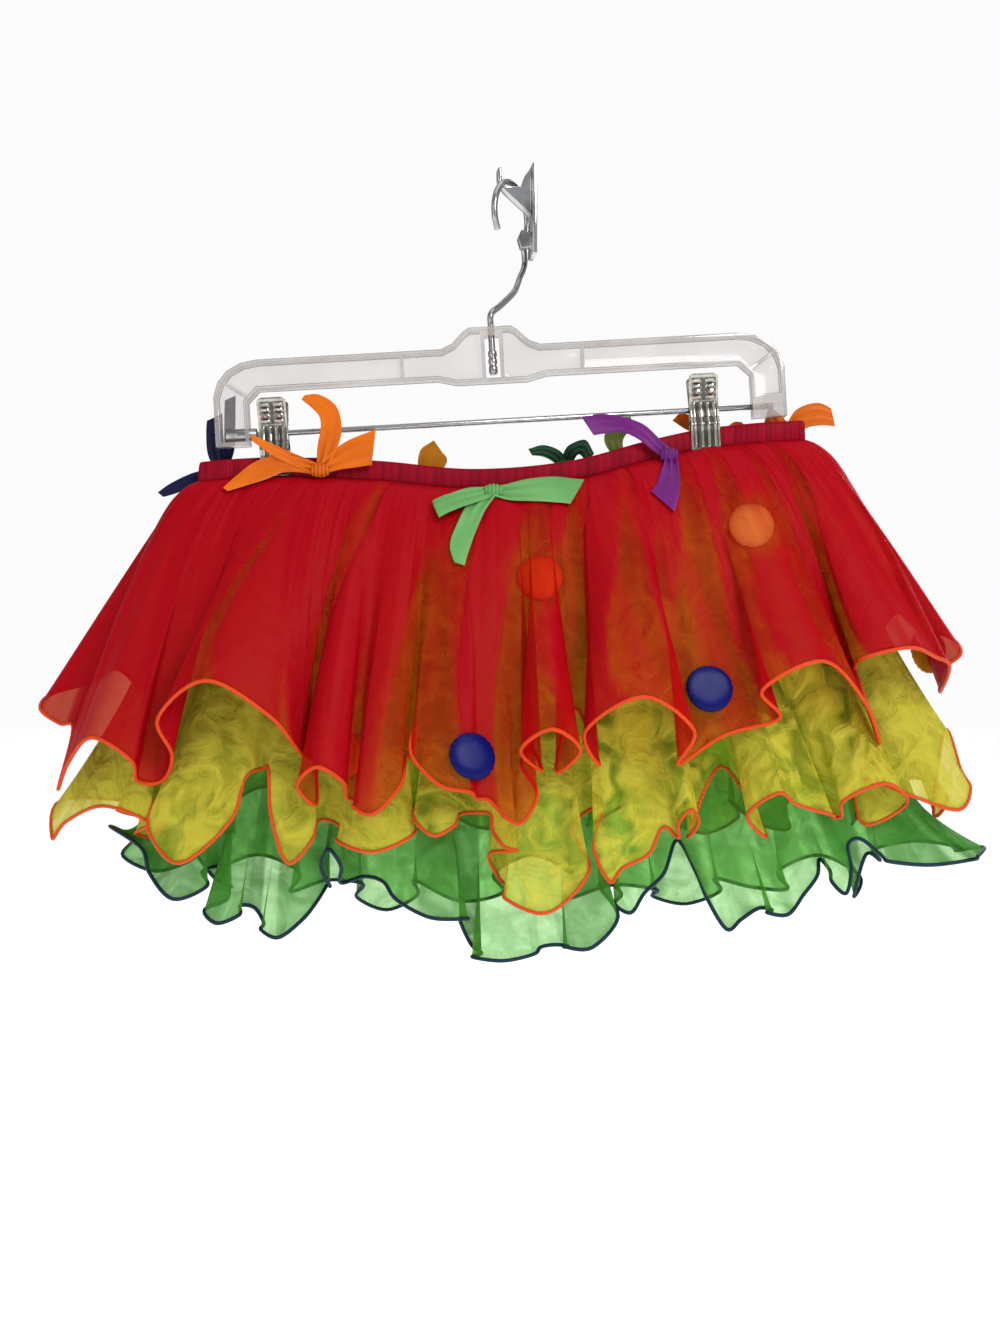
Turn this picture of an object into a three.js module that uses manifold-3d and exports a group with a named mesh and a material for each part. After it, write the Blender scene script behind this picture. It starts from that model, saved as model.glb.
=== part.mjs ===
// A three-layer tutu skirt with wired, fluted hems, hung by two clips from a clear hanger on a coat hook.
// Units are millimetres, +X to the wearer's left, -Y to the front, +Z up. The origin is the middle of the
// coat hook's flat back face.
import * as THREE from 'three';
import Module from 'manifold-3d';
import { mergeVertices } from 'three/addons/utils/BufferGeometryUtils.js';

const wasm = await Module();
wasm.setup();

// ---- Driving dimensions ----------------------------------------------------------------------------------
const GAP = 0.3;                 // space left between pieces that meet
const CLOTH = 1.0;               // wall of an organza panel
const HEM_CORD = 2.6;            // thickness of the rolled and wired hem
const BAND = { half: 188, middle: -2, depth: 8, pinched: 2.6, height: 15, wall: 1.2 };
const GARMENT_AT = new THREE.Vector3(-19.3, -24, -152.8);   // middle of the waist, from the coat hook
const HANGER = { at: [-2.5, 0, 15.3], tilt: 3.2, web: 3, deep: 10, flange: 2.5, stem: -3 };
const BAR = { across: 3.5, from: -172, to: 170, sleeve: 8, sleeveEnd: -152.5 };
const HOOK = { wire: 4, loop: 21.2, turn: 60, centre: [-15.3, -2.2, -3.3], ferrule: [5.5, 14] };
const COAT_HOOK = { turn: 8, plate: [3, 20, 58], arm: 9, prong: 6 };
const CLIP = { wide: 18, wall: 1, along: [-142, 126.8] };
const DOT = { across: 28, edge: 2, crown: 6 };
const RIBBON = 0.9;              // thickness of a ribbon with its folded edges

const root = new THREE.Group();
const garment = new THREE.Group();
garment.position.copy(GARMENT_AT);
root.add(garment);

// ---- Helpers ---------------------------------------------------------------------------------------------
const RAD = Math.PI / 180;
const mix = (a, b, t) => a + (b - a) * t;
const clamp = (x, low, high) => Math.min(high, Math.max(low, x));

function addPiece(parent, name, geometry, colour, roughness = 0.7, metalness = 0, opacity = 1) {
  const material = new THREE.MeshStandardMaterial({ color: colour, roughness, metalness });
  material.opacity = opacity;
  material.transparent = opacity < 1;
  const mesh = new THREE.Mesh(geometry, material);
  mesh.name = name;
  parent.add(mesh);
  return mesh;
}

function toSolid(geometry) {
  const bare = new THREE.BufferGeometry();
  bare.setAttribute('position', geometry.getAttribute('position').clone());
  if (geometry.index) bare.setIndex(geometry.index.clone());
  const merged = mergeVertices(bare, 1e-4);
  const mesh = new wasm.Mesh({
    numProp: 3,
    vertProperties: new Float32Array(merged.getAttribute('position').array),
    triVerts: new Uint32Array(merged.index.array),
  });
  return new wasm.Manifold(mesh);
}

function toGeometry(solid) {
  const mesh = solid.getMesh();
  const geometry = new THREE.BufferGeometry();
  geometry.setAttribute('position', new THREE.BufferAttribute(new Float32Array(mesh.vertProperties), 3));
  geometry.setIndex(new THREE.BufferAttribute(new Uint32Array(mesh.triVerts), 1));
  geometry.computeVertexNormals();
  return geometry;
}

function joined(geometries) {
  return toGeometry(geometries.map(toSolid).reduce((all, next) => all.add(next)));
}

// A closed wall from a grid of points and the normals there: rows of columns, open at both ends.
function wallFromGrid(rows, normals, halfWall) {
  const across = rows[0].length;
  const down = rows.length;
  const positions = [];
  for (const side of [1, -1]) {
    for (let j = 0; j < down; j++) {
      for (let i = 0; i < across; i++) {
        const p = rows[j][i].clone().addScaledVector(normals[j][i], side * halfWall[j]);
        positions.push(p.x, p.y, p.z);
      }
    }
  }
  const outer = (j, i) => j * across + i;
  const inner = (j, i) => down * across + j * across + i;
  const index = [];
  const quad = (a, b, c, d) => index.push(a, b, c, a, c, d);
  for (let j = 0; j + 1 < down; j++) {
    for (let i = 0; i + 1 < across; i++) {
      quad(outer(j, i), outer(j + 1, i), outer(j + 1, i + 1), outer(j, i + 1));
      quad(inner(j, i), inner(j, i + 1), inner(j + 1, i + 1), inner(j + 1, i));
    }
    quad(outer(j, 0), inner(j, 0), inner(j + 1, 0), outer(j + 1, 0));
    quad(outer(j, across - 1), outer(j + 1, across - 1), inner(j + 1, across - 1), inner(j, across - 1));
  }
  for (let i = 0; i + 1 < across; i++) {
    quad(outer(0, i), outer(0, i + 1), inner(0, i + 1), inner(0, i));
    quad(outer(down - 1, i), inner(down - 1, i), inner(down - 1, i + 1), outer(down - 1, i + 1));
  }
  const geometry = new THREE.BufferGeometry();
  geometry.setAttribute('position', new THREE.Float32BufferAttribute(positions, 3));
  geometry.setIndex(index);
  geometry.computeVertexNormals();
  return geometry;
}

// A flat profile made solid, its depth centred.
function extruded(points, depth) {
  const shape = new THREE.Shape(points.map(([x, y]) => new THREE.Vector2(x, y)));
  const geometry = new THREE.ExtrudeGeometry(shape, { depth, bevelEnabled: false, steps: 1 });
  return geometry.translate(0, 0, -depth / 2);
}

// ---- Waistband: an elastic loop hung from the clips, so it is pinched flat there and sags between ---------
const BAND_TOP = [
  { x: -190, top: -11 }, { x: -144, top: -8 }, { x: -78, top: -11 }, { x: -20, top: -16 },
  { x: 40, top: -11 }, { x: 90, top: 2 }, { x: 125, top: 10 }, { x: 186, top: 15 },
];
const CLIP_X = [-143, 125.7];
const PINCH = { flat: 11, fade: 16 };    // the band lies flat this far beside a clip, then opens

function bandTop(x) {
  const rows = BAND_TOP;
  const last = rows.length - 1;
  const i = clamp(rows.filter((row) => row.x <= x).length - 1, 0, last - 1);
  const slope = (k) => {
    const [a, b] = [rows[Math.max(k - 1, 0)], rows[Math.min(k + 1, last)]];
    return (b.top - a.top) / (b.x - a.x);
  };
  const run = rows[i + 1].x - rows[i].x;
  const t = clamp((x - rows[i].x) / run, 0, 1);
  const start = (1 + 2 * t) * (1 - t) ** 2 * rows[i].top + t * (1 - t) ** 2 * run * slope(i);
  return start + t * t * (3 - 2 * t) * rows[i + 1].top + t * t * (t - 1) * run * slope(i + 1);
}

function bandDepth(x) {
  const beyond = Math.min(...CLIP_X.map((clip) => Math.max(Math.abs(x - clip) - PINCH.flat, 0)));
  return mix(BAND.depth, BAND.pinched, Math.exp(-((beyond / PINCH.fade) ** 2)));
}

// A point of the waist line at an angle from the left seam over the front.
function waistPoint(turn, wider = 0) {
  const t = turn * RAD;
  const x = BAND.middle - (BAND.half + wider) * Math.cos(t);
  const deep = bandDepth(x) + wider;
  const y = -Math.sign(Math.sin(t)) * deep * Math.abs(Math.sin(t)) ** 0.62;
  return new THREE.Vector3(x, y, bandTop(x));
}

// The same point moved outward from the loop.
function besideWaist(turn, outward, wider = 0) {
  const step = 0.5;
  const along = waistPoint(turn + step, wider).sub(waistPoint(turn - step, wider)).setZ(0).normalize();
  return waistPoint(turn, wider).add(new THREE.Vector3(-along.y, along.x, 0).multiplyScalar(-outward));
}

const BAND_SIDES = 48;

function waistband() {
  const ring = (outward) => {
    const points = [];
    for (let k = 0; k < BAND_SIDES; k++) {
      const share = (2 * k) / BAND_SIDES;
      const eased = share - Math.sin(2 * Math.PI * share) * 0.06;
      points.push(besideWaist(eased * 180, outward));
    }
    return points;
  };
  const rings = [
    ring(BAND.wall / 2), ring(BAND.wall / 2).map((p) => p.setZ(p.z - BAND.height)),
    ring(-BAND.wall / 2).map((p) => p.setZ(p.z - BAND.height)), ring(-BAND.wall / 2),
  ];
  const positions = rings.flat().flatMap((p) => [p.x, p.y, p.z]);
  const count = rings[0].length;
  const index = [];
  for (let r = 0; r < 4; r++) {
    for (let k = 0; k < count; k++) {
      const a = r * count + k;
      const b = r * count + ((k + 1) % count);
      const c = ((r + 1) % 4) * count + ((k + 1) % count);
      const d = ((r + 1) % 4) * count + k;
      index.push(a, d, c, a, c, b);
    }
  }
  const geometry = new THREE.BufferGeometry();
  geometry.setAttribute('position', new THREE.Float32BufferAttribute(positions, 3));
  geometry.setIndex(index);
  geometry.computeVertexNormals();
  return geometry;
}
addPiece(garment, 'waistband', waistband(), 0x7a0412, 0.55);

// ---- Skirt layers ----------------------------------------------------------------------------------------
// Each row is one flute of the hem, in order round the skirt from the left side seam over the front.
//   turn: its place round the hem ring, in degrees; out: how far its crest stands out of the ring;
//   lip: drop of the crest's hem below the waist; half: half its widest width;
//   left, right: where its two feet stand beside the crest; leftLow, rightLow: the feet's drops;
//   sag: drop of the hem in the hollow after it; dip: how far that hollow stands out of the ring;
//   start: how far down the panel the flute begins, as a share.
const COLUMNS = ['turn', 'out', 'lip', 'half', 'left', 'leftLow', 'right', 'rightLow', 'sag', 'dip', 'start'];
const table = (rows) => rows.map((row) => Object.fromEntries(COLUMNS.map((name, i) => [name, row[i]])));

const LAYERS = {
  red: {
    middle: 0, half: 262, deep: 84, puff: 0.62, hang: 176, lean: 0.08, stack: 1.8,
    seams: { left: { out: 8, low: 177 }, right: { out: 10, low: 154 } },
    colour: 0xc40a1a,
    front: table([
      [27.5, 22, 180, 24, -38, 212, 20, 206, 206, -3, 0.02],
      [51, 24, 146, 34, -30, 190, 46, 187, 195, -14, 0.02],
      [66.5, 18, 195, 14, -6, 218, 14, 213, 215, -2, 0.02],
      [74, 20, 221, 13, -12, 215, 14, 191, 190, -18, 0.02],
      [82, 16, 205, 17, -16, 172, 20, 213, 214, 6, 0.02],
      [92, 14, 226, 9, -12, 221, 0, 195, 186, -16, 0.02],
      [95.5, 26, 173, 17, -4, 198, 4, 198, 162, -18, 0.02],
      [106.6, 24, 155, 31, -20, 195, 24, 194, 178, -4, 0.02],
      [132, 24, 135, 34, -18, 168, 52, 184, 139, -18, 0.02],
      [150, 22, 127, 24, -18, 139, 40, 138, 0, 0, 0.02],
    ]),
    back: table([
      [190, 34, 120, 16, -10, 140, 16, 104, 130, -14, 0.02],
      [210, 20, 150, 22, -14, 166, 20, 170, 176, -11, 0.02],
      [232, 24, 146, 30, -26, 186, 26, 190, 196, -12, 0.02],
      [254, 22, 176, 22, -14, 206, 16, 200, 198, -11, 0.02],
      [275, 24, 152, 30, -22, 192, 28, 186, 190, -11, 0.02],
      [298, 22, 178, 20, -12, 204, 16, 206, 200, -12, 0.02],
      [322, 24, 150, 28, -24, 184, 24, 170, 160, -18, 0.02],
      [350, 40, 156, 20, -18, 140, 16, 174, 0, 0, 0.02],
    ]),
  },
  yellow: {
    middle: 4, half: 256, deep: 66, puff: 0.8, hang: 236, lean: 0.05, stack: 0,
    seams: { left: { out: 26, low: 222 }, right: { out: 15, low: 178 } },
    colour: 0xb9a316,
    front: table([
      [22, 16, 222, 28, -36, 243, 6, 240, 241, -14, 0.5],
      [43.7, 30, 252, 27, -28, 216, 30, 204, 199, -6, 0.44],
      [60, 16, 252, 12, -16, 199, 14, 229, 230, -6, 0.5],
      [72.1, 16, 245, 22, -20, 235, 18, 226, 221, -10, 0.5],
      [80, 18, 235, 12, -11, 218, 14, 224, 223, 4, 0.5],
      [89, 14, 242, 7, -8, 224, -9, 248, 262, -12, 0.5],
      [94.6, 12, 280, 24, -24, 267, 16, 235, 224, -14, 0.55],
      [102.4, 16, 262, 8, -2, 224, 24, 247, 232, 4, 0.5],
      [113.5, 14, 221, 7, -6, 238, 4, 238, 198, -20, 0.5],
      [125.5, 26, 211, 14, 4, 239, 40, 226, 228, 0, 0.35],
      [146, 22, 207, 24, -20, 227, 4, 234, 209, -18, 0.46],
      [164, 32, 224, 22, -32, 208, 22, 202, 0, 0, 0.4],
    ]),
    back: table([
      [196, 22, 210, 24, -16, 232, 18, 236, 232, -10, 0.56],
      [218, 16, 214, 24, -20, 240, 20, 244, 240, -12, 0.6],
      [240, 16, 250, 22, -16, 226, 20, 232, 228, -10, 0.62],
      [263, 16, 216, 26, -20, 244, 20, 240, 244, -14, 0.62],
      [286, 16, 250, 22, -18, 228, 18, 226, 230, -12, 0.62],
      [309, 13, 218, 26, -22, 242, 20, 246, 240, -12, 0.68],
      [332, 14, 236, 24, -18, 214, 16, 226, 0, 0, 0.66],
    ]),
  },
  green: {
    middle: 19, half: 256, deep: 50, puff: 1.2, hang: 275, lean: 0.02, stack: -1.8,
    seams: { left: { out: 10, low: 238 }, right: { out: 24, low: 251 } },
    colour: 0x3f8f45,
    front: table([
      [34, 18, 277, 17, -24, 248, 8, 263, 262, -14, 0.84],
      [43.5, 20, 290, 12, -2, 278, 10, 281, 283, 2, 0.72],
      [54, 16, 298, 12, -12, 291, 18, 279, 271, -14, 0.72],
      [61.5, 12, 246, 6, -3, 270, 4, 268, 265, -12, 0.74],
      [76, 16, 285, 21, -30, 267, 16, 288, 304, -4, 0.72],
      [85.5, 16, 310, 18, -13, 308, 22, 303, 302, 8, 0.72],
      [97, 18, 302, 16, -14, 302, 6, 269, 268, -10, 0.72],
      [102.3, 10, 283, 9, -4, 274, 22, 262, 243, -14, 0.72],
      [115.2, 18, 292, 9, -14, 260, 18, 282, 281, 10, 0.72],
      [124.5, 18, 284, 12, -8, 282, 24, 264, 255, -8, 0.72],
      [135, 14, 273, 6, -4, 261, 7, 246, 243, -6, 0.72],
      [158, 8, 259, 28, -30, 253, 26, 254, 0, 0, 0.82],
    ]),
    back: table([
      [200, 10, 250, 26, -22, 256, 20, 262, 258, -10, 0.82],
      [224, 16, 262, 26, -22, 286, 20, 282, 280, -12, 0.78],
      [247, 18, 296, 22, -18, 276, 20, 284, 280, -10, 0.72],
      [270, 18, 264, 26, -22, 290, 20, 286, 290, -12, 0.72],
      [292, 18, 300, 20, -18, 278, 16, 280, 276, -10, 0.72],
      [314, 18, 262, 26, -20, 284, 18, 280, 272, -12, 0.72],
      [338, 14, 270, 22, -18, 254, 16, 248, 0, 0, 0.78],
    ]),
  },
};

// The hem ring of a layer: where it stands at an angle, and its directions along and outward there.
function ringFrame(layer, turn) {
  const c = Math.cos(turn * RAD);
  const s = Math.sin(turn * RAD);
  const along = new THREE.Vector3(layer.half * s, -layer.deep * c, 0).normalize();
  const outward = new THREE.Vector3(-layer.deep * c, -layer.half * s, 0).normalize();
  return { at: new THREE.Vector3(layer.middle - layer.half * c, -layer.deep * s, 0), along, outward };
}

function ringPoint(layer, turn, along, out, low) {
  const ring = ringFrame(layer, turn);
  return ring.at.addScaledVector(ring.along, along).addScaledVector(ring.outward, out).setZ(-low);
}

// The hem's stations, a seam, then foot, side, crest, side, foot and hollow for each flute.
function hemStations(layer) {
  const flutes = [...layer.front, ...layer.back];
  const lastFront = layer.front.length - 1;
  const { left, right } = layer.seams;
  const stations = [];
  const put = (kind, turn, p, start) => stations.push({ kind, turn, p, start });
  put('seam', 0, ringPoint(layer, 0, 0, left.out, left.low), flutes[0].start);
  let before = { dip: left.out, turn: 0 };
  flutes.forEach((f, i) => {
    const next = flutes[i + 1];
    const seamAfter = i === lastFront ? { dip: right.out, turn: 180 } : { dip: left.out, turn: 360 };
    const hollowTurn = next ? mix(f.turn, next.turn, f.half / (f.half + next.half)) : 360;
    const after = i === lastFront || !next ? seamAfter : { dip: f.dip, turn: hollowTurn };
    const add = (kind, share, end, along, low) => {
      const out = mix(end.dip, f.out, kind === 'foot' ? 0.3 : 0.68);
      put(kind, mix(end.turn, f.turn, share), ringPoint(layer, f.turn, along, out, low), f.start);
    };
    add('foot', 0.33, before, f.left, f.leftLow);
    add('side', 0.66, before, -f.half, (f.leftLow + f.lip) / 2);
    put('crest', f.turn, ringPoint(layer, f.turn, 0, f.out, f.lip), f.start);
    add('side', 0.66, after, f.half, (f.rightLow + f.lip) / 2);
    add('foot', 0.33, after, f.right, f.rightLow);
    if (i === lastFront) {
      put('seam', 180, ringPoint(layer, 180, 0, right.out, right.low), f.start);
    } else if (next) {
      const a = ringPoint(layer, f.turn, f.right, f.dip, f.sag);
      const b = ringPoint(layer, next.turn, next.left, f.dip, f.sag);
      put('hollow', hollowTurn, a.lerp(b, 0.5), (f.start + next.start) / 2);
    }
    before = after;
  });
  return stations;
}

// The hem as columns: every station, and a point between on each side of a wide flute's crest.
const WIDE_FLUTE = 19;

function hemColumns(layer) {
  const stations = hemStations(layer);
  const count = stations.length;
  const columns = [];
  stations.forEach((s, i) => {
    columns.push(s);
    const next = stations[(i + 1) % count];
    const crossesCrest = s.kind === 'crest' || next.kind === 'crest';
    if (!crossesCrest || s.p.distanceTo(next.p) < WIDE_FLUTE) return;
    const near = [stations[(i + count - 1) % count], s, next, stations[(i + 2) % count]].map((n) => n.p);
    const p = new THREE.Vector3().addVectors(near[1], near[2]).multiplyScalar(9 / 16)
      .addScaledVector(near[0], -1 / 16).addScaledVector(near[3], -1 / 16);
    columns.push({ kind: 'between', turn: (s.turn + next.turn) / 2, p, start: s.start });
  });
  return columns;
}

const BAND_TO_CLOTH = 1.0;
const GATHERS_WIDER = 1.5;       // the gathers stand this much further apart than the band
const ROWS_DOWN = [0, 0.13, 0.36, 0.64, 0.89, 0.985, 1];
const FOLD_POWER = 1.3;

// The panel's point below a hem column at a share of the way down.
function panelPoint(layer, column, down) {
  const waist = besideWaist(column.turn, layer.stack, GATHERS_WIDER + layer.stack / 2);
  waist.z -= BAND.height + BAND_TO_CLOTH;
  const ring = ringFrame(layer, column.turn).at;
  ring.z = -(layer.hang - layer.lean * ring.x);
  const fold = clamp((down - column.start) / (1 - column.start), 0, 1) ** FOLD_POWER;
  const puff = down ** layer.puff;
  return new THREE.Vector3(
    mix(waist.x, ring.x, puff) + (column.p.x - ring.x) * fold,
    mix(waist.y, ring.y, puff) + (column.p.y - ring.y) * fold,
    mix(waist.z, ring.z, down) + (column.p.z - ring.z) * fold,
  );
}

function layerWalls(name) {
  const layer = LAYERS[name];
  const columns = hemColumns(layer);
  const count = columns.length;
  const grid = ROWS_DOWN.map((down) => columns.map((column) => panelPoint(layer, column, down)));
  const normals = grid.map((row, j) => row.map((p, i) => {
    const along = row[(i + 1) % count].clone().sub(row[(i + count - 1) % count]);
    const below = grid[Math.min(j + 1, grid.length - 1)][i].clone();
    const downward = below.sub(grid[Math.max(j - 1, 0)][i]);
    return downward.cross(along).normalize();
  }));
  const halfWall = ROWS_DOWN.map((down) => (down > 0.98 ? HEM_CORD : CLOTH) / 2);
  const seam = columns.findIndex((column) => column.turn === 180);
  const pick = (from, to, rows) => rows.map((row) => {
    const picked = [];
    for (let i = from; i <= to; i++) picked.push(row[i % count].clone());
    return picked;
  });
  const parts = { front: [0, seam], back: [seam, count] };
  for (const [side, [from, to]] of Object.entries(parts)) {
    const points = pick(from, to, grid);
    const sideways = pick(from, to, normals);
    for (const row of points) {
      const last = row.length - 1;
      const first = row[1].clone().sub(row[0]).normalize();
      const end = row[last - 1].clone().sub(row[last]).normalize();
      row[0].addScaledVector(first, GAP * 0.7);
      row[last].addScaledVector(end, GAP * 0.7);
    }
    addPiece(garment, `${name}_${side}`, wallFromGrid(points, sideways, halfWall), layer.colour, 0.6, 0, 0.6);
  }
}
Object.keys(LAYERS).forEach(layerWalls);

// ---- Hanger ----------------------------------------------------------------------------------------------
// Its own frame: u along the bar, w up the hook's stem, both from the middle of the bar.
const hanger = new THREE.Group();
hanger.position.set(...HANGER.at);
hanger.rotation.y = -HANGER.tilt * RAD;
garment.add(hanger);
root.updateMatrixWorld(true);
const hangerPoint = (u, w) => new THREE.Vector3(u, 0, w).applyMatrix4(hanger.matrixWorld);

const HANGER_OUTLINE = [
  [157, -7], [178, -7], [178, 24], [175, 33], [169, 40], [160, 44.5], [150, 46], [27, 46], [20, 49],
  [13, 56], [9, 58.5], [-17, 58.5], [-21, 56], [-28, 49], [-35, 46], [-150, 46], [-160, 44.5], [-169, 40],
  [-175, 33], [-178, 24], [-178, -7], [-157, -7], [-157, 20], [-150, 27], [-38, 27], [-26, 24],
  [18, 24], [30, 27], [150, 27], [157, 20],
];
const RIB = { wide: 2, deep: 8 };
const RIBS = [-60, 53];                               // where upright ribs cross the rail
const CORNER_RIBS = [[-164.5, 28.5, -35], [164.5, 28.5, 35]];   // middle of each corner's rib, and its slope
const SOCKET = { u: 167.5, w: 0.5, wide: 20, tall: 14 };
const WINDOW = { wide: 9, low: 26.5, high: 53, frame: 2.5 };

// The outline moved inward, corner by corner.
function inset(points, distance) {
  return points.map(([x, y], i) => {
    const [fromX, fromY] = points[(i + points.length - 1) % points.length];
    const [toX, toY] = points[(i + 1) % points.length];
    const a = new THREE.Vector2(x - fromX, y - fromY).normalize();
    const b = new THREE.Vector2(toX - x, toY - y).normalize();
    const reach = distance / (1 + a.dot(b));
    return [x - (a.y + b.y) * reach, y + (a.x + b.x) * reach];
  });
}

// An I-section rail bent round to two legs: edge flanges, a thin web, ribs, a socket for the bar at one end,
// a bored leg for its sleeve at the other and a window round the foot of the hook.
function hangerBody() {
  const box = (u, w, wide, tall, deep) => new THREE.BoxGeometry(wide, tall, deep).translate(u, w, 0);
  const windowTall = WINDOW.high - WINDOW.low;
  const windowAt = (WINDOW.high + WINDOW.low) / 2;
  const pocketDeep = (HANGER.deep - HANGER.web) / 2 + 1;
  const pocketAt = (HANGER.web + pocketDeep) / 2;
  const pocket = inset(HANGER_OUTLINE, HANGER.flange);
  const rod = (radius, from, to, sides) => new THREE.CylinderGeometry(radius, radius, to - from, sides)
    .rotateZ(Math.PI / 2).translate((from + to) / 2, 0, 0);
  const stemRadius = HOOK.wire / 2 + GAP;
  const framed = WINDOW.wide + 2 * WINDOW.frame;
  const added = [
    box(HANGER.stem, windowAt + 1.5, framed, windowTall + 3, HANGER.deep),
    box(SOCKET.u, SOCKET.w, SOCKET.wide, SOCKET.tall, HANGER.deep),
    ...RIBS.map((u) => box(u, 36.5, RIB.wide, 17, RIB.deep)),
    ...CORNER_RIBS.map(([u, w, slope]) => new THREE.BoxGeometry(19, RIB.wide, RIB.deep)
      .rotateZ(slope * RAD).translate(u, w, 0)),
  ];
  const removed = [
    box(HANGER.stem, windowAt, WINDOW.wide, windowTall, 2 * HANGER.deep),
    new THREE.CylinderGeometry(stemRadius, stemRadius, 20, 16).translate(HANGER.stem, WINDOW.high + 2, 0),
    rod(BAR.sleeve / 2 + GAP, BAR.from - GAP, -150, 20),
    rod(BAR.across / 2 + GAP, 150, BAR.to + GAP, 12),
  ];
  let solid = toSolid(extruded(HANGER_OUTLINE, HANGER.deep));
  for (const side of [1, -1]) {
    solid = solid.subtract(toSolid(extruded(pocket, pocketDeep).translate(0, 0, side * pocketAt)));
  }
  for (const piece of added) solid = solid.add(toSolid(piece));
  for (const piece of removed) solid = solid.subtract(toSolid(piece));
  return toGeometry(solid).rotateX(Math.PI / 2);
}
addPiece(hanger, 'hanger_body', hangerBody(), 0xe8ecec, 0.08, 0, 0.3);

function clipBar() {
  const rod = (across, from, to) => {
    const geometry = new THREE.CylinderGeometry(across / 2, across / 2, to - from, 12);
    return geometry.rotateZ(Math.PI / 2).translate((from + to) / 2, 0, 0);
  };
  return joined([rod(BAR.across, BAR.from + 1, BAR.to), rod(BAR.sleeve, BAR.from, BAR.sleeveEnd)]);
}
addPiece(hanger, 'clip_bar', clipBar(), 0x9a9c9e, 0.3, 0.9);

// Spring-steel jaws: a finger tab above the bar, a bulge below it and a flat mouth on the waistband.
// Its inner face is rows of y and w.
const JAW = [[-7.6, 21.5], [-2.4, 4.5], [-2.4, -4], [-4.6, -9.5], [-3.6, -14.5], [-3.6, -25.5], [-4.6, -27]];

CLIP.along.forEach((u, i) => {
  for (const side of [1, -1]) {
    const outer = JAW.map(([y, w]) => [y - CLIP.wall, w]).reverse();
    const profile = [...JAW, ...outer].map(([y, w]) => [side * y, w]);
    if (side < 0) profile.reverse();
    const geometry = extruded(profile, CLIP.wide);
    const [x, y, z] = [new THREE.Vector3(1, 0, 0), new THREE.Vector3(0, 1, 0), new THREE.Vector3(0, 0, 1)];
    geometry.applyMatrix4(new THREE.Matrix4().makeBasis(y, z, x)).translate(u, 0, 0);
    const name = `clip_${['left', 'right'][i]}_${side > 0 ? 'front' : 'back'}`;
    addPiece(hanger, name, toGeometry(toSolid(geometry)), 0xa8a69c, 0.25, 0.95);
  }
});

const NECK = [[-25, -67], [-14, -60], [4, -47.5], [11, -38], [18, -26.7]];   // in the loop's own plane

// The hook: round wire from a pressed ferrule in the window up through the hump, bent over to its loop.
function hangerHook() {
  const turn = HOOK.turn * RAD;
  const [cx, cy, cz] = HOOK.centre;
  const inLoop = (s, z) => new THREE.Vector3(cx + s * Math.cos(turn), cy + s * Math.sin(turn), cz + z);
  const points = [hangerPoint(HANGER.stem, 29), hangerPoint(HANGER.stem, 44), hangerPoint(HANGER.stem, 60)];
  for (const [s, z] of NECK) points.push(inLoop(s, z));
  for (let angle = -40; angle <= 215; angle += 21.25) {
    points.push(inLoop(HOOK.loop * Math.cos(angle * RAD), HOOK.loop * Math.sin(angle * RAD)));
  }
  const curve = new THREE.CatmullRomCurve3(points, false, 'centripetal');
  const round = new THREE.Shape();
  round.absarc(0, 0, HOOK.wire / 2, 0, 2 * Math.PI);
  const settings = { steps: 30, curveSegments: 4, bevelEnabled: false, extrudePath: curve };
  const wire = new THREE.ExtrudeGeometry(round, settings);
  const [across, long] = HOOK.ferrule;
  const ferrule = new THREE.CylinderGeometry(across / 2, across / 2, long, 12).rotateX(Math.PI / 2);
  const middle = hangerPoint(HANGER.stem, 30 + long / 2);
  ferrule.rotateY(-HANGER.tilt * RAD).translate(middle.x, middle.y, middle.z);
  return joined([wire, ferrule]);
}
addPiece(root, 'hanger_hook', hangerHook(), 0xa9abad, 0.2, 0.95);

// ---- Coat hook: a plate with a cupped upper arm that takes the wire and a small lower knob ---------------
const ARM = [
  [2.5, -4], [8, 1], [15, 7], [21, 12.5], [24.5, 19], [24.5, 26], [22.3, 27], [21.8, 14.8],
  [9.5, 14.8], [7, 22], [2.5, 28],
];
const KNOB = [[2.5, -14], [9, -12], [11.5, -18], [9.5, -24.5], [2.5, -23]];

function coatHook() {
  const [thick, wide, tall] = COAT_HOOK.plate;
  const plate = new THREE.BoxGeometry(thick, wide, tall).translate(thick / 2, 0, 0);
  const arm = extruded(ARM, COAT_HOOK.arm).rotateX(Math.PI / 2);
  const knob = extruded(KNOB, COAT_HOOK.prong).rotateX(Math.PI / 2);
  return joined([plate, arm, knob]).rotateZ((180 + COAT_HOOK.turn) * RAD);
}
addPiece(root, 'coat_hook', coatHook(), 0xb4b6b8, 0.15, 1);

// ---- Bows and dots, laid on the cloth under them ---------------------------------------------------------
const probe = new THREE.Raycaster();

function landing(from, direction, meshes) {
  probe.set(garment.localToWorld(from.clone()), direction);
  const hit = probe.intersectObjects(meshes, false)[0];
  return hit && { at: garment.worldToLocal(hit.point.clone()), normal: hit.face.normal.clone() };
}

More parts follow.
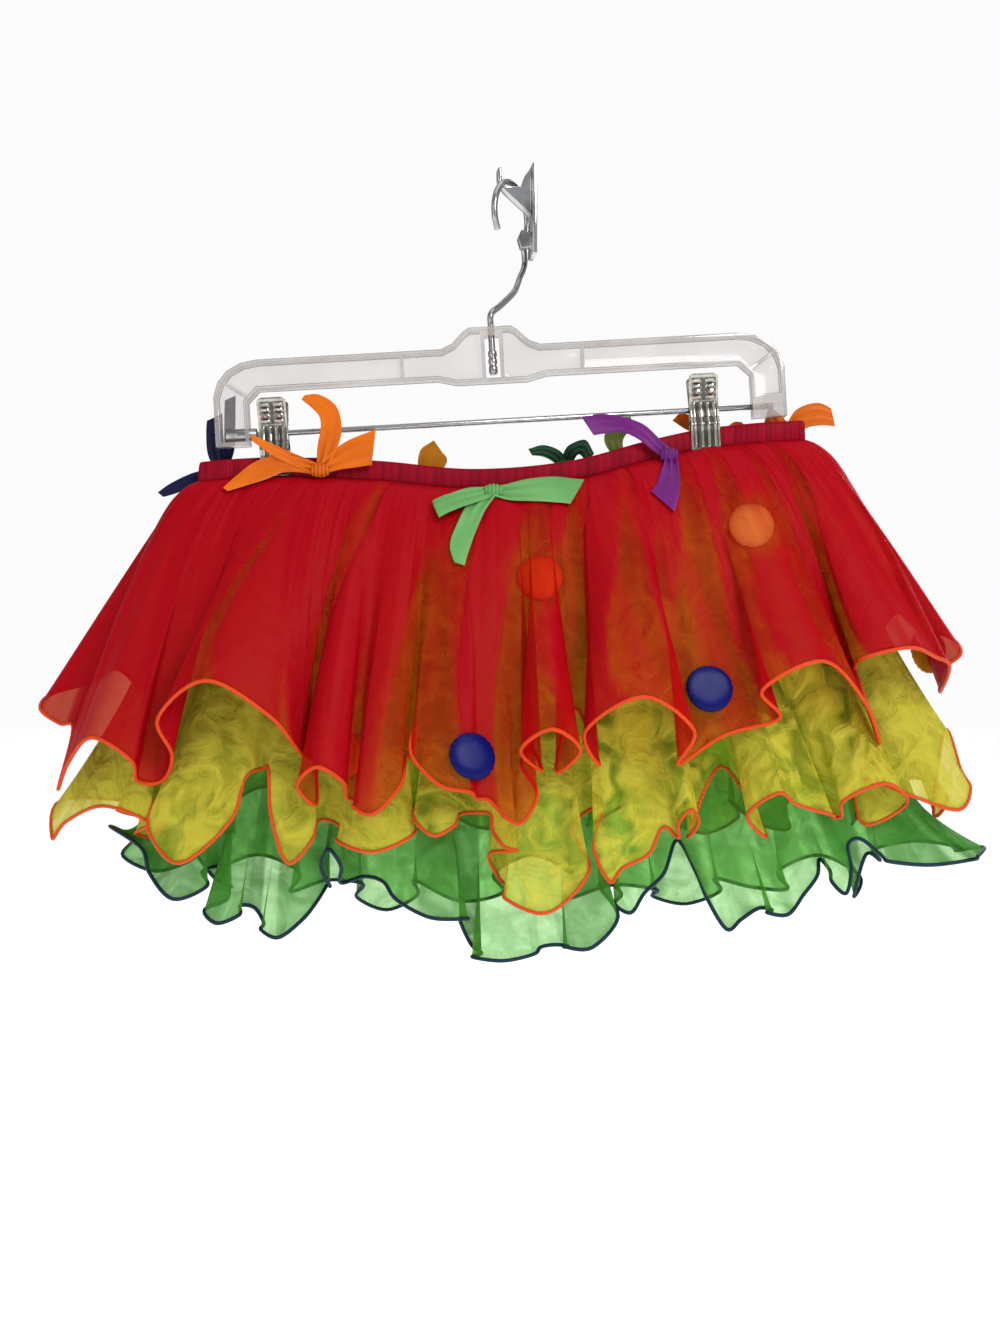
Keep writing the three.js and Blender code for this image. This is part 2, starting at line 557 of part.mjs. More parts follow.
// Each strip is rows of x, z, how far it stands off what is under it, and its width there.
const BOWS = [
  { name: 'bow_orange_left', colour: 0xee7a12, face: -1, knot: [-114, -17], strips: [
    [[-114, -17, 5, 7], [-128, -11, 5, 7], [-143, -4, 5, 6], [-157, 4, 6, 3]],
    [[-114, -17, 5, 6], [-124, -14, 5, 8], [-138, -12, 4, 11], [-152, -17, 4, 13], [-163, -23, 4, 9],
      [-172, -29, 4, 3]],
    [[-113, -15, 5, 7], [-110, -4, 6, 12], [-107, 8, 7, 13], [-109, 19, 6, 12], [-117, 26, 4, 9],
      [-125, 29, 3, 3]],
    [[-113, -16, 5, 7], [-104, -11, 6, 12], [-94, -7, 6, 17], [-81, -3, 5, 20]],
  ] },
  { name: 'bow_green_centre', colour: 0x82c984, face: -1, knot: [-7, -31], strips: [
    [[-7, -31, 5, 6], [2, -31, 4.5, 11], [15, -30, 3.5, 15], [30, -29.5, 3, 18], [44, -31, 3, 17]],
    [[-8, -31, 5, 6], [-20, -33, 3, 10], [-33, -38, 2.5, 11], [-42, -43, 5, 11], [-34, -39, 8.5, 11],
      [-20, -34, 8, 10], [-8, -31, 5.5, 6]],
    [[-8, -32, 5, 6], [-17, -41, 4, 11], [-23, -54, 3, 12], [-27, -66, 3, 12], [-27, -77, 3, 6]],
  ] },
  { name: 'bow_purple', colour: 0x8a2f8f, face: -1, knot: [101, -8], strips: [
    [[101, -8, 5, 7], [93, -1, 5, 8], [83, 7, 6, 9], [72, 11, 6, 9], [60, 11.5, 6, 12], [51, 10, 6, 12]],
    [[102, -9, 5, 7], [101, -18, 4, 11], [99, -28, 3, 14], [95, -38, 3, 18]],
  ] },
  { name: 'bow_orange_right', colour: 0xf08a1e, face: 1, knot: [180, 10], strips: [
    [[180, 10, 5, 7], [172, 17, 5, 10], [166, 22, 5, 9]],
    [[180, 10, 5, 7], [188, 19, 5, 13], [198, 22, 5, 14], [208, 20, 5, 10]],
  ] },
  { name: 'bow_navy', colour: 0x10103f, face: 1, knot: [-180, -14], strips: [
    [[-180, -14, 5, 7], [-183, -2, 5, 11], [-184, 10, 5, 11], [-184, 20, 5, 10]],
    [[-179, -13, 5, 6], [-175, 0, 6, 7], [-174.5, 15, 6, 7], [-174, 32, 6, 7]],
    [[-182, -15, 5, 6], [-196, -19, 4, 8], [-210, -25, 4, 7], [-218, -29, 4, 4]],
  ] },
  { name: 'bow_mustard', colour: 0xcf8a08, face: 1, knot: [-46, -20], strips: [
    [[-46, -19, 5, 7], [-47, -12, 5, 16], [-45, -4, 5, 18], [-42, 1, 5, 10]],
    [[-46, -21, 5, 7], [-50, -34, 4, 13], [-52, -48, 4, 15]],
  ] },
  { name: 'bow_dark_green', colour: 0x1d4a2c, face: 1, knot: [38, -11], strips: [
    [[38, -10, 5, 7], [32, -4, 6, 8], [24, -1, 6, 7], [16, -2, 5, 4]],
    [[38, -10, 5, 7], [43, -1, 5, 8], [50, 1, 8, 8], [54, -6, 8, 8]],
    [[38, -12, 5, 7], [35, -26, 4, 13], [36, -40, 4, 15]],
  ] },
  { name: 'bow_olive', colour: 0x6f7d33, face: 1, knot: [72, -5], strips: [
    [[72, -4, 5, 7], [69, 6, 6, 12], [73, 15, 6, 13], [80, 20, 6, 8]],
    [[72, -6, 5, 7], [75, -20, 4, 13], [73, -34, 4, 15]],
  ] },
  { name: 'bow_orange_back', colour: 0xf08a1e, face: 1, knot: [138, 2], strips: [
    [[138, 3, 5, 7], [128, 12, 12, 9], [116, 17, 10, 9], [108, 20, 7, 6]],
    [[138, 3, 5, 7], [146, 12, 6, 9], [152, 14, 5, 6]],
    [[138, 1, 5, 7], [142, -14, 4, 13], [140, -28, 4, 15]],
  ] },
];
const KNOT = { across: 12, tall: 9, deep: 8, lift: 5 };
const BESIDE = [[0, 0], [0, -5], [-3, -2], [3, -2]];   // a ribbon clears what is under it as far as this

function bow({ face, knot, strips }) {
  const under = garment.children.filter((piece) => piece.isMesh).concat(hanger.children.slice(2));
  const inward = new THREE.Vector3(0, -face, 0);
  const offCloth = (x, z, lift) => {
    const reached = [bandDepth(x) + BAND.wall];
    for (const [dx, dz] of BESIDE) {
      const hit = landing(new THREE.Vector3(x + dx, face * 300, z + dz), inward, under);
      if (hit) reached.push(face * hit.at.y);
    }
    return new THREE.Vector3(x, face * (Math.max(...reached) + lift), z);
  };
  const body = new THREE.SphereGeometry(0.5, 8, 6).scale(KNOT.across, KNOT.deep, KNOT.tall);
  const centre = offCloth(...knot, KNOT.lift);
  const pieces = [body.translate(centre.x, centre.y, centre.z)];
  for (const strip of strips) {
    const steps = strip.length - 1;
    const [first, last] = [strip[0], strip[strip.length - 1]];
    const turnsBack = Math.hypot(first[0] - last[0], first[1] - last[1]) < 5;
    const tip = turnsBack ? strip[(strip.length - 1) / 2] : last;
    const reach = new THREE.Vector3(tip[0] - first[0], 0, tip[1] - first[1]).normalize();
    const rows = [];
    strip.forEach(([x, z, lift, width], k) => {
      const [before, after] = [strip[Math.max(k - 1, 0)], strip[Math.min(k + 1, steps)]];
      const line = new THREE.Vector3(after[0] - before[0], 0, after[1] - before[1]).normalize();
      const along = turnsBack ? reach : line;
      const edge = (side) => [x - along.z * side * width / 2, z + along.x * side * width / 2, lift];
      rows.push([-1, 0, 1].map((side) => offCloth(...edge(side))));
    });
    const normals = rows.map((row, j) => row.map(() => {
      const next = rows[Math.min(j + 1, steps)][1].clone().sub(rows[Math.max(j - 1, 0)][1]);
      return next.cross(row[2].clone().sub(row[0])).normalize();
    }));
    const wall = rows.map(() => RIBBON / 2);
    pieces.push(wallFromGrid(rows, normals, wall));
  }
  return joined(pieces);
}

// Padded satin discs: the cloth each is sewn on, x and z of its middle, and how far its base stands off.
const DOTS = [
  { name: 'dot_blue_right', colour: 0x0c1180, on: 'red_front', at: [118, -152], off: 0.8 },
  { name: 'dot_blue_left', colour: 0x0c1180, on: 'red_front', at: [-20, -190], off: 2 },
  { name: 'dot_orange_centre', colour: 0xff5a1e, on: 'yellow_front', at: [21, -85], off: 0.8 },
  { name: 'dot_orange_left', colour: 0xff5a1e, on: 'yellow_front', at: [-94, -192], off: 2.4 },
  { name: 'dot_cream', colour: 0xe8b070, on: 'yellow_front', at: [151, -52], off: 0.8 },
  { name: 'dot_gold_right', colour: 0xe89a1c, on: 'red_back', at: [270, -128], off: 3.5 },
  { name: 'dot_back_blue', colour: 0x0c1180, on: 'red_back', at: [150, -120], off: 2 },
  { name: 'dot_back_gold', colour: 0xe89a1c, on: 'red_back', at: [60, -96], off: 2.6 },
  { name: 'dot_back_orange', colour: 0xff5a1e, on: 'red_back', at: [-50, -140], off: 2.6 },
  { name: 'dot_back_navy', colour: 0x0c1180, on: 'red_back', at: [-150, -110], off: 1.2 },
];
const DOT_SIDES = 10;
const DOT_RINGS = [0, 0.62, 1];

function dot({ on, at, off }) {
  const face = on.endsWith('front') ? -1 : 1;
  const cloth = garment.children.filter((piece) => piece.name === on);
  const [x, z] = at;
  const samples = [[0, 0], [8, 0], [-8, 0], [0, 8], [0, -8]].map(([dx, dz]) => landing(
    new THREE.Vector3(x + dx, face * 300, z + dz), new THREE.Vector3(0, -face, 0), cloth,
  )).filter(Boolean);
  const centre = samples[0].at;
  const out = samples.reduce((sum, s) => sum.add(s.normal), new THREE.Vector3()).normalize();
  const sideways = new THREE.Vector3(-out.y, out.x, 0).normalize();
  const upward = out.clone().cross(sideways);
  const base = (share, k) => {
    const angle = (k / DOT_SIDES) * 2 * Math.PI;
    const p = centre.clone().addScaledVector(sideways, share * (DOT.across / 2) * Math.cos(angle))
      .addScaledVector(upward, share * (DOT.across / 2) * Math.sin(angle));
    const hit = landing(p.clone().addScaledVector(out, 30), out.clone().negate(), cloth);
    return hit && hit.at.distanceTo(p) < 12 ? hit.at : p;
  };
  const positions = [];
  for (const top of [false, true]) {
    for (const share of DOT_RINGS) {
      for (let k = 0; k < (share ? DOT_SIDES : 1); k++) {
        const thick = top ? DOT.edge + (DOT.crown - DOT.edge) * (1 - share * share) : 0;
        const p = base(share, k).addScaledVector(out, off + thick);
        positions.push(p.x, p.y, p.z);
      }
    }
  }
  const perSide = 1 + 2 * DOT_SIDES;
  const node = (top, ring, k) => top * perSide + (ring ? 1 + (ring - 1) * DOT_SIDES + (k % DOT_SIDES) : 0);
  const index = [];
  for (let k = 0; k < DOT_SIDES; k++) {
    for (const top of [0, 1]) {
      const turn = (a, b, c) => (top ? index.push(a, b, c) : index.push(a, c, b));
      turn(node(top, 0, 0), node(top, 1, k), node(top, 1, k + 1));
      turn(node(top, 1, k), node(top, 2, k), node(top, 2, k + 1));
      turn(node(top, 1, k), node(top, 2, k + 1), node(top, 1, k + 1));
    }
    index.push(node(0, 2, k), node(0, 2, k + 1), node(1, 2, k + 1));
    index.push(node(0, 2, k), node(1, 2, k + 1), node(1, 2, k));
  }
  const geometry = new THREE.BufferGeometry();
  geometry.setAttribute('position', new THREE.Float32BufferAttribute(positions, 3));
  geometry.setIndex(index);
  geometry.computeVertexNormals();
  return geometry;
}

const bows = BOWS.map((row) => [row.name, bow(row), row.colour]);
for (const [name, geometry, colour] of bows) addPiece(garment, name, geometry, colour, 0.35);
for (const row of DOTS) addPiece(garment, row.name, dot(row), row.colour, 0.4);

export default root;
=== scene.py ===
import math

import bmesh
import bpy
import numpy as np
from mathutils import Matrix, Vector
from mathutils.bvhtree import BVHTree


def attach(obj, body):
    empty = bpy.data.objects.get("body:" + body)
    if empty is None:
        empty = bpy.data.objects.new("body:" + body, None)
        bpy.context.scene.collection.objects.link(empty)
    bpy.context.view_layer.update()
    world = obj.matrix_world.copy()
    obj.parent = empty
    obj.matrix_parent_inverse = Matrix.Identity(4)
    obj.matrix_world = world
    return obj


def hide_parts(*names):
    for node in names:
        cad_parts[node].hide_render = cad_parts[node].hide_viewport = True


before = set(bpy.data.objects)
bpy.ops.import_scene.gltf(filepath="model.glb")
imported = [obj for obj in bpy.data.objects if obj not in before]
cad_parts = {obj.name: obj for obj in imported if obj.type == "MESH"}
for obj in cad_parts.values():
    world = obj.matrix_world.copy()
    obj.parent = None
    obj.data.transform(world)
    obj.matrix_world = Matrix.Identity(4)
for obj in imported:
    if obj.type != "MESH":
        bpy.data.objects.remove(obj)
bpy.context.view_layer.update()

# ---- Coat hook ---------------------------------------------------------------------------------------------
# A die-cast hook with a cupped upper arm and a small lower knob, chrome plated. Its plate lies flat against
# what carries it, and the hanger's wire rests in the cup.
MM = 0.001
CAST_EDGE = 1.6
RECESS_SHADE = 0.16                    # how dark the painted shade in a metal's recesses is, as a share of its dull tone


def merged_copy(node):
    """A copy of a node's mesh with its triangles joined back into whole faces."""
    bm = bmesh.new()
    bm.from_mesh(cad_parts[node].data)
    bmesh.ops.remove_doubles(bm, verts=bm.verts, dist=1e-6)
    bmesh.ops.dissolve_limit(bm, angle_limit=math.radians(1), verts=bm.verts, edges=bm.edges)
    return bm


def rounded_edges(bm, radius, segments, sharper_than=25):
    """A round of this radius on every edge that is sharper than this angle."""
    limit = math.radians(sharper_than)
    edges = [e for e in bm.edges if len(e.link_faces) == 2 and e.calc_face_angle() > limit]
    bmesh.ops.bevel(bm, geom=edges, offset=radius * MM, offset_type="OFFSET", segments=segments, profile=0.5,
                    affect="EDGES", clamp_overlap=True, material=-1)


def finished(bm, name, material, slot, *nodes, sharp=40):
    """The mesh as an object that rides on the hanging skirt's one body and stands for its nodes."""
    for face in bm.faces:
        face.smooth = True
    mesh = bpy.data.meshes.new(name)
    bm.to_mesh(mesh)
    bm.free()
    mesh.set_sharp_from_angle(angle=math.radians(sharp))
    mesh.materials.append(material)
    piece = bpy.data.objects.new(name, mesh)
    bpy.context.scene.collection.objects.link(piece)
    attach(piece, "root")
    if nodes:
        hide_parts(*nodes)
    return piece


def feed(tree, node, sockets):
    """Give each named socket of a shader node its constant, or the output that it is linked to."""
    for socket, value in sockets.items():
        if isinstance(value, bpy.types.NodeSocket):
            tree.links.new(value, node.inputs[socket])
        else:
            node.inputs[socket].default_value = value


def shader_node(tree, kind, sockets=None, **settings):
    """A new shader node, set up first and then fed."""
    node = tree.nodes.new(f"ShaderNode{kind}")
    for setting, value in settings.items():
        setattr(node, setting, value)
    feed(tree, node, sockets or {})
    return node


def mixed(tree, factor, start, end):
    """A colour between two others."""
    node = shader_node(tree, "Mix", {"Factor": factor, "A": start, "B": end}, data_type="RGBA")
    return node.outputs["Result"]


def new_material(name):
    """An empty material, its node tree and its shader."""
    material = bpy.data.materials.new(name)
    material.use_nodes = True
    return material, material.node_tree, material.node_tree.nodes["Principled BSDF"]


def shader_group(name, inputs, outputs):
    """A shader group with named values in and out, with what goes into it and its output node."""
    group = bpy.data.node_groups.new(name, "ShaderNodeTree")
    for socket, value in inputs.items():
        made = group.interface.new_socket(socket, in_out="INPUT", socket_type="NodeSocketFloat")
        made.default_value = value
    for socket in outputs:
        group.interface.new_socket(socket, in_out="OUTPUT", socket_type="NodeSocketFloat")
    return group, group.nodes.new("NodeGroupInput").outputs, group.nodes.new("NodeGroupOutput")


def wear_and_reflection_group():
    """Shader group: a noise mask and a roughness, for fine rubbing on bare metal and plastic, and at a coarse
    scale for the painted reflections on the chrome.
    """
    group, given, put_out = shader_group("wear and painted reflection", {"Scale": 90, "Smooth": 0.1, "Rubbed": 0.3},
                                         ("Mask", "Roughness"))
    place = shader_node(group, "TexCoord")
    rubs = shader_node(group, "TexNoise", {"Vector": place.outputs["Object"], "Scale": given["Scale"],
                                           "Detail": 5})
    mask = shader_node(group, "MapRange", {"Value": rubs.outputs["Fac"], "From Min": 0.42, "From Max": 0.7})
    rough = shader_node(group, "MapRange", {"Value": mask.outputs["Result"], "To Min": given["Smooth"],
                                            "To Max": given["Rubbed"]})
    feed(group, put_out, {"Mask": mask.outputs["Result"], "Roughness": rough.outputs["Result"]})
    return group


WEAR_AND_REFLECTION = wear_and_reflection_group()


def wear_and_reflection(tree, scale, smooth, rubbed):
    """The mask and the roughness of a surface rubbed by handling; on the chrome the mask lays painted
    reflections.
    """
    wear = shader_node(tree, "Group", {"Scale": scale, "Smooth": smooth, "Rubbed": rubbed},
                       node_tree=WEAR_AND_REFLECTION)
    return wear.outputs["Mask"], wear.outputs["Roughness"]


def bare_metal(name, bright, dull, smooth, rubbed, scale):
    """Metal that is duller and rougher where it is rubbed, with painted shade in the recesses of a pressing;
    on the chrome its bright and dull patches are painted reflections.
    """
    material, tree, shader = new_material(name)
    mask, rough = wear_and_reflection(tree, scale, smooth, rubbed)
    metal = mixed(tree, mask, (*bright, 1), (*dull, 1))
    # Painted shade: the colour darkens towards a share of the dull tone where the lapped shades mark a
    # recess.
    recess = shader_node(tree, "Attribute", attribute_name="lapped")
    painted_recess_shade = (*[RECESS_SHADE * part for part in dull], 1)
    feed(tree, shader, {"Metallic": 1, "Roughness": rough,
                        "Base Color": mixed(tree, recess.outputs["Fac"], metal, painted_recess_shade)})
    return material


# Painted reflection: the chrome's bright and dark patches come from the wear mask at a coarse scale.
chrome = bare_metal("hook chrome", (0.62, 0.63, 0.65), (0.09, 0.09, 0.10), 0.07, 0.22, 42)
cast = merged_copy("coat_hook")
rounded_edges(cast, CAST_EDGE, 3)
finished(cast, "coat_hook_casting", chrome, "coat_hook_chrome", "coat_hook", sharp=60)

# ---- Hanger hook -------------------------------------------------------------------------------------------
# Polished steel wire, 4 mm, bent to an open loop over a long neck. A ferrule pressed on its foot holds it in
# the hanger's window.
GARMENT_AT = np.array([-19.3, -24.0, -152.8])      # middle of the waist, from the coat hook's back face
HANGER_AT = GARMENT_AT + (-2.5, 0, 15.3)
TILT = math.radians(3.2)
WIRE = {"across": 4.0, "sides": 16, "steps": 8, "tip_rows": 6}
LOOP = {"radius": 21.2, "turn": math.radians(60), "centre": (-15.3, -2.2, -3.3), "from": -40, "to": 215,
        "step": 21.25}
NECK = [(-25, -67), (-14, -60), (4, -47.5), (11, -38), (18, -26.7)]
FERRULE_SIDES = 28
STEM = {"u": -3, "ferrule": 30, "bends": (29, 44, 60)}
FERRULE = [(0, 0), (2.4, 0), (2.75, 0.5), (2.75, 4), (2.3, 4.6), (2.3, 5.6), (2.75, 6.2), (2.75, 8.6),
           (2.3, 9.2), (2.3, 10.2), (2.75, 10.8), (2.75, 13.5), (2.4, 14), (0, 14)]


def hanger_point(u, w, y=0.0):
    """A point of the hanger's own frame: u along its bar, w up its stem, both from the bar's middle."""
    return HANGER_AT + (u * math.cos(TILT) - w * math.sin(TILT), y, u * math.sin(TILT) + w * math.cos(TILT))


def smooth_between(values, places):
    """Catmull-Rom through rows of values, whose first and last row are only there to steer the ends."""
    i = np.clip(np.floor(places).astype(int), 0, len(values) - 4)
    t = (places - i).reshape(-1, *[1] * (values.ndim - 1))
    p0, p1, p2, p3 = (values[i + k] for k in range(4))
    return 0.5 * (2 * p1 + (p2 - p0) * t + (2 * p0 - 5 * p1 + 4 * p2 - p3) * t ** 2
                  + (3 * p1 - p0 - 3 * p2 + p3) * t ** 3)


def eased(points, steps):
    """A smooth open run through points, with this many steps from one to the next."""
    points = np.asarray(points, float)
    run = np.concatenate([[2 * points[0] - points[1]], points, [2 * points[-1] - points[-2]]])
    return smooth_between(run, np.linspace(0, len(points) - 1, (len(points) - 1) * steps + 1))


def tube_rows(path, radius, sides):
    """Rows of points round a path, turning with it; radius is a number or one for each point."""
    along = np.gradient(path, axis=0)
    along /= np.linalg.norm(along, axis=1, keepdims=True)
    side = np.cross(along[0], [0.31, 0.89, 0.33])
    sideways = np.empty_like(path)
    for k, direction in enumerate(along):
        side = side - direction * side.dot(direction)
        side /= np.linalg.norm(side)
        sideways[k] = side
    upward = np.cross(along, sideways)
    reach = np.broadcast_to(radius, len(path))[:, None]
    angles = np.linspace(0, 2 * np.pi, sides + 1)
    return np.array([path + reach * (np.cos(a) * sideways + np.sin(a) * upward) for a in angles])


def laid(points, shades=None, closed=False):
    """A grid moved to rows of points in millimetres, its UV in metres and its shades kept as lapped."""
    rows, columns = points.shape[:2]
    bm = bmesh.new()
    uv = bm.loops.layers.uv.new("UVMap")
    lapped = bm.verts.layers.float.new("lapped")
    bmesh.ops.create_grid(bm, x_segments=columns - 1, y_segments=rows - 1, size=1)
    wide = np.linalg.norm(np.diff(points, axis=1), axis=2).sum(axis=1).mean() * MM
    tall = np.linalg.norm(np.diff(points, axis=0), axis=2).sum(axis=0).mean() * MM
    for face in bm.faces:
        for loop in face.loops:
            at = loop.vert.co
            loop[uv].uv = ((at.x + 1) / 2 * wide, (at.y + 1) / 2 * tall)
    for vert in bm.verts:
        i = round((vert.co.x + 1) / 2 * (columns - 1))
        j = round((vert.co.y + 1) / 2 * (rows - 1))
        vert.co = points[j, i] * MM
        vert[lapped] = 0 if shades is None else shades[j, i]
    if closed:
        bmesh.ops.remove_doubles(bm, verts=bm.verts, dist=2e-6)
        bmesh.ops.recalc_face_normals(bm, faces=bm.faces)
    return bm


def inside_loop(across, up):
    """A point in the plane of the wire hook's loop, from the loop's middle."""
    x, y, z = LOOP["centre"]
    return np.array([x + across * math.cos(LOOP["turn"]), y + across * math.sin(LOOP["turn"]), z + up])


def lathed(profile, steps, at, lying=False):
    """Pairs of radius and length, turned about the stem's line or the bar's, and set in the tilted hanger."""
    bm = bmesh.new()
    line = [bm.verts.new((x * MM, 0, z * MM)) for x, z in (pair[::-1] if lying else pair for pair in profile)]
    edges = [bm.edges.new(pair) for pair in zip(line, line[1:])]
    bmesh.ops.spin(bm, geom=line + edges, cent=(0, 0, 0), axis=(1, 0, 0) if lying else (0, 0, 1),
                   dvec=(0, 0, 0), angle=2 * math.pi, steps=steps, use_merge=True)
    bmesh.ops.remove_doubles(bm, verts=bm.verts, dist=1e-6)
    bmesh.ops.recalc_face_normals(bm, faces=bm.faces)
    bmesh.ops.rotate(bm, verts=bm.verts, cent=(0, 0, 0), matrix=Matrix.Rotation(-TILT, 3, "Y"))
    bmesh.ops.translate(bm, verts=bm.verts, vec=Vector(at * MM))
    return bm


bends = [hanger_point(STEM["u"], w) for w in STEM["bends"]]
bends += [inside_loop(*point) for point in NECK]
for angle in np.arange(LOOP["from"], LOOP["to"] + 0.1, LOOP["step"]):
    turn = math.radians(angle)
    bends.append(inside_loop(LOOP["radius"] * math.cos(turn), LOOP["radius"] * math.sin(turn)))
wire_line = eased(bends, WIRE["steps"])
onward = np.linspace(0.02, 0.6, WIRE["tip_rows"])[:, None]
tip = wire_line[-1] + (wire_line[-1] - wire_line[-2]) * onward
rounded = np.sqrt(1 - np.linspace(0.05, 1, WIRE["tip_rows"]) ** 2)
wire_radius = WIRE["across"] / 2 * np.concatenate([np.ones(len(wire_line)), rounded])
wire_line = np.concatenate([wire_line, tip])
wire = laid(tube_rows(wire_line, wire_radius, WIRE["sides"]), closed=True)
bmesh.ops.holes_fill(wire, edges=[e for e in wire.edges if e.is_boundary])
polished = bare_metal("polished wire", (0.42, 0.42, 0.43), (0.27, 0.27, 0.28), 0.14, 0.32, 220)
finished(wire, "hanger_hook_wire", polished, "hook_wire", "hanger_hook")
collar = lathed(FERRULE, FERRULE_SIDES, hanger_point(STEM["u"], STEM["ferrule"]))
finished(collar, "hook_ferrule", polished, "hook_wire", sharp=50)

# ---- Hanger body -------------------------------------------------------------------------------------------
# One moulding of clear polystyrene: an I-section rail bent down to two legs, with ribs at its corners and a
# window round the hook's foot. Its rims are thick, so they look paler than the thin web between them.
WEB_ENDS, RIM_STARTS = 1.6, 2.4      # from the rail's middle plane
WEB_HIDES, RIM_HIDES, EDGE_HIDES = 0.21, 0.50, 0.5
MOULDED_EDGE = 0.5


def worked_out(tree, operation, *values, clamp=False):
    """The value that a math node gives."""
    node = shader_node(tree, "Math", dict(enumerate(values)), operation=operation, use_clamp=clamp)
    return node.outputs["Value"]


clear, clear_tree, plastic = new_material("clear polystyrene")
where = shader_node(clear_tree, "TexCoord")
depth = shader_node(clear_tree, "SeparateXYZ", {"Vector": where.outputs["Object"]})
off_middle = worked_out(clear_tree, "SUBTRACT", depth.outputs["Y"], float(HANGER_AT[1]) * MM)
rim_mask = shader_node(clear_tree, "MapRange", {
    "Value": worked_out(clear_tree, "ABSOLUTE", off_middle), "From Min": WEB_ENDS * MM,
    "From Max": RIM_STARTS * MM, "To Min": WEB_HIDES, "To Max": RIM_HIDES})
glancing = shader_node(clear_tree, "LayerWeight", {"Blend": 0.4})
hides = worked_out(clear_tree, "MULTIPLY_ADD", glancing.outputs["Facing"], EDGE_HIDES,
                   rim_mask.outputs["Result"], clamp=True)
scuffs, scuffed = wear_and_reflection(clear_tree, 40, 0.05, 0.2)
feed(clear_tree, plastic, {
    "Base Color": mixed(clear_tree, scuffs, (0.36, 0.325, 0.30, 1), (0.50, 0.46, 0.43, 1)),
    "Roughness": scuffed, "IOR": 1.58, "Alpha": hides, "Coat Weight": 0.6, "Coat Roughness": 0.04})
moulding = merged_copy("hanger_body")
rounded_edges(moulding, MOULDED_EDGE, 2, 30)
finished(moulding, "hanger_moulding", clear, "clear_plastic", "hanger_body", sharp=45)

# ---- Clip bar ----------------------------------------------------------------------------------------------
# Plated steel rod sprung between the legs, with a thicker sleeve on its left end that fills the bored leg.
# Both are turned, with a small chamfer at each end.
BAR = {"across": 3.5, "from": -172, "to": 170, "chamfer": 0.4, "sides": 32}
SLEEVE = {"across": 8, "to": -152.5, "chamfers": (0.5, 0.6)}
SLEEVE_PROFILE = [
    (0, BAR["from"]), (SLEEVE["across"] / 2 - SLEEVE["chamfers"][0], BAR["from"]),
    (SLEEVE["across"] / 2, BAR["from"] + SLEEVE["chamfers"][0]),
    (SLEEVE["across"] / 2, SLEEVE["to"] - SLEEVE["chamfers"][1]),
    (SLEEVE["across"] / 2 - SLEEVE["chamfers"][1], SLEEVE["to"]),
]
ROD_PROFILE = [
    (BAR["across"] / 2, SLEEVE["to"]), (BAR["across"] / 2, BAR["to"] - BAR["chamfer"]),
    (BAR["across"] / 2 - BAR["chamfer"], BAR["to"]), (0, BAR["to"]),
]
plated = bare_metal("plated bar steel", (0.36, 0.36, 0.37), (0.22, 0.22, 0.22), 0.2, 0.42, 160)
rod = lathed(SLEEVE_PROFILE + ROD_PROFILE, BAR["sides"], hanger_point(0, 0), lying=True)
finished(rod, "clip_bar_rod", plated, "bar_steel", "clip_bar", sharp=50)

# ---- Clips -------------------------------------------------------------------------------------------------
# Two jaws of nickel-plated spring steel to a clip, pressed from sheet. Eight raised pads roughen each finger
# tab above the bar, and four upright ribs run down from them to stiffen the mouth on the waistband.
CLIP_AT = {"left": -142, "right": 126.8}
CLIP_WIDE = 18
CLIP_WALL = 0.8
JAW_STEPS, JAW_ACROSS = 18, 49
JAW = [(-8.1, 21.5), (-2.9, 4.5), (-2.9, -4), (-5.1, -9.5), (-4.1, -14.5), (-4.1, -25.5), (-5.1, -27)]
CORNER = 3.0
PADS = {"across": (-4.2, 4.2), "up": (7.2, 10.5, 13.8, 17.1), "half": (3.3, 1.35), "high": 1.0, "steep": 2.2}
RIBS = {"across": (-6.3, -2.1, 2.1, 6.3), "from": -24.5, "to": 4.6, "half": 1.05, "high": 0.9, "steep": 2}
# Painted shade in the pressing's recesses: how far it reaches above the pads and beside the ribs, how dark it
# is, and how far out a place must stand to be clear of it.
RECESS = {"above_pads": 1.8, "beside_ribs": 1.2, "dark": 0.85, "unshaded_from": 0.35}


def raised_by(s, w):
    """How far the pads and ribs stand out of a jaw, at a place across it and up it."""
    raised = 0.0
    for pad in PADS["across"]:
        for up in PADS["up"]:
            r = math.hypot((s - pad) / PADS["half"][0], (w - up) / PADS["half"][1])
            raised = max(raised, PADS["high"] * min(1, PADS["steep"] * max(0, 1 - r)))
    for rib in RIBS["across"]:
        beside = max(0, 1 - abs(s - rib) / RIBS["half"])
        inside = max(0, min(w - RIBS["from"], RIBS["to"] - w))
        raised = max(raised, RIBS["high"] * min(1, RIBS["steep"] * beside) * min(1, inside))
    return raised


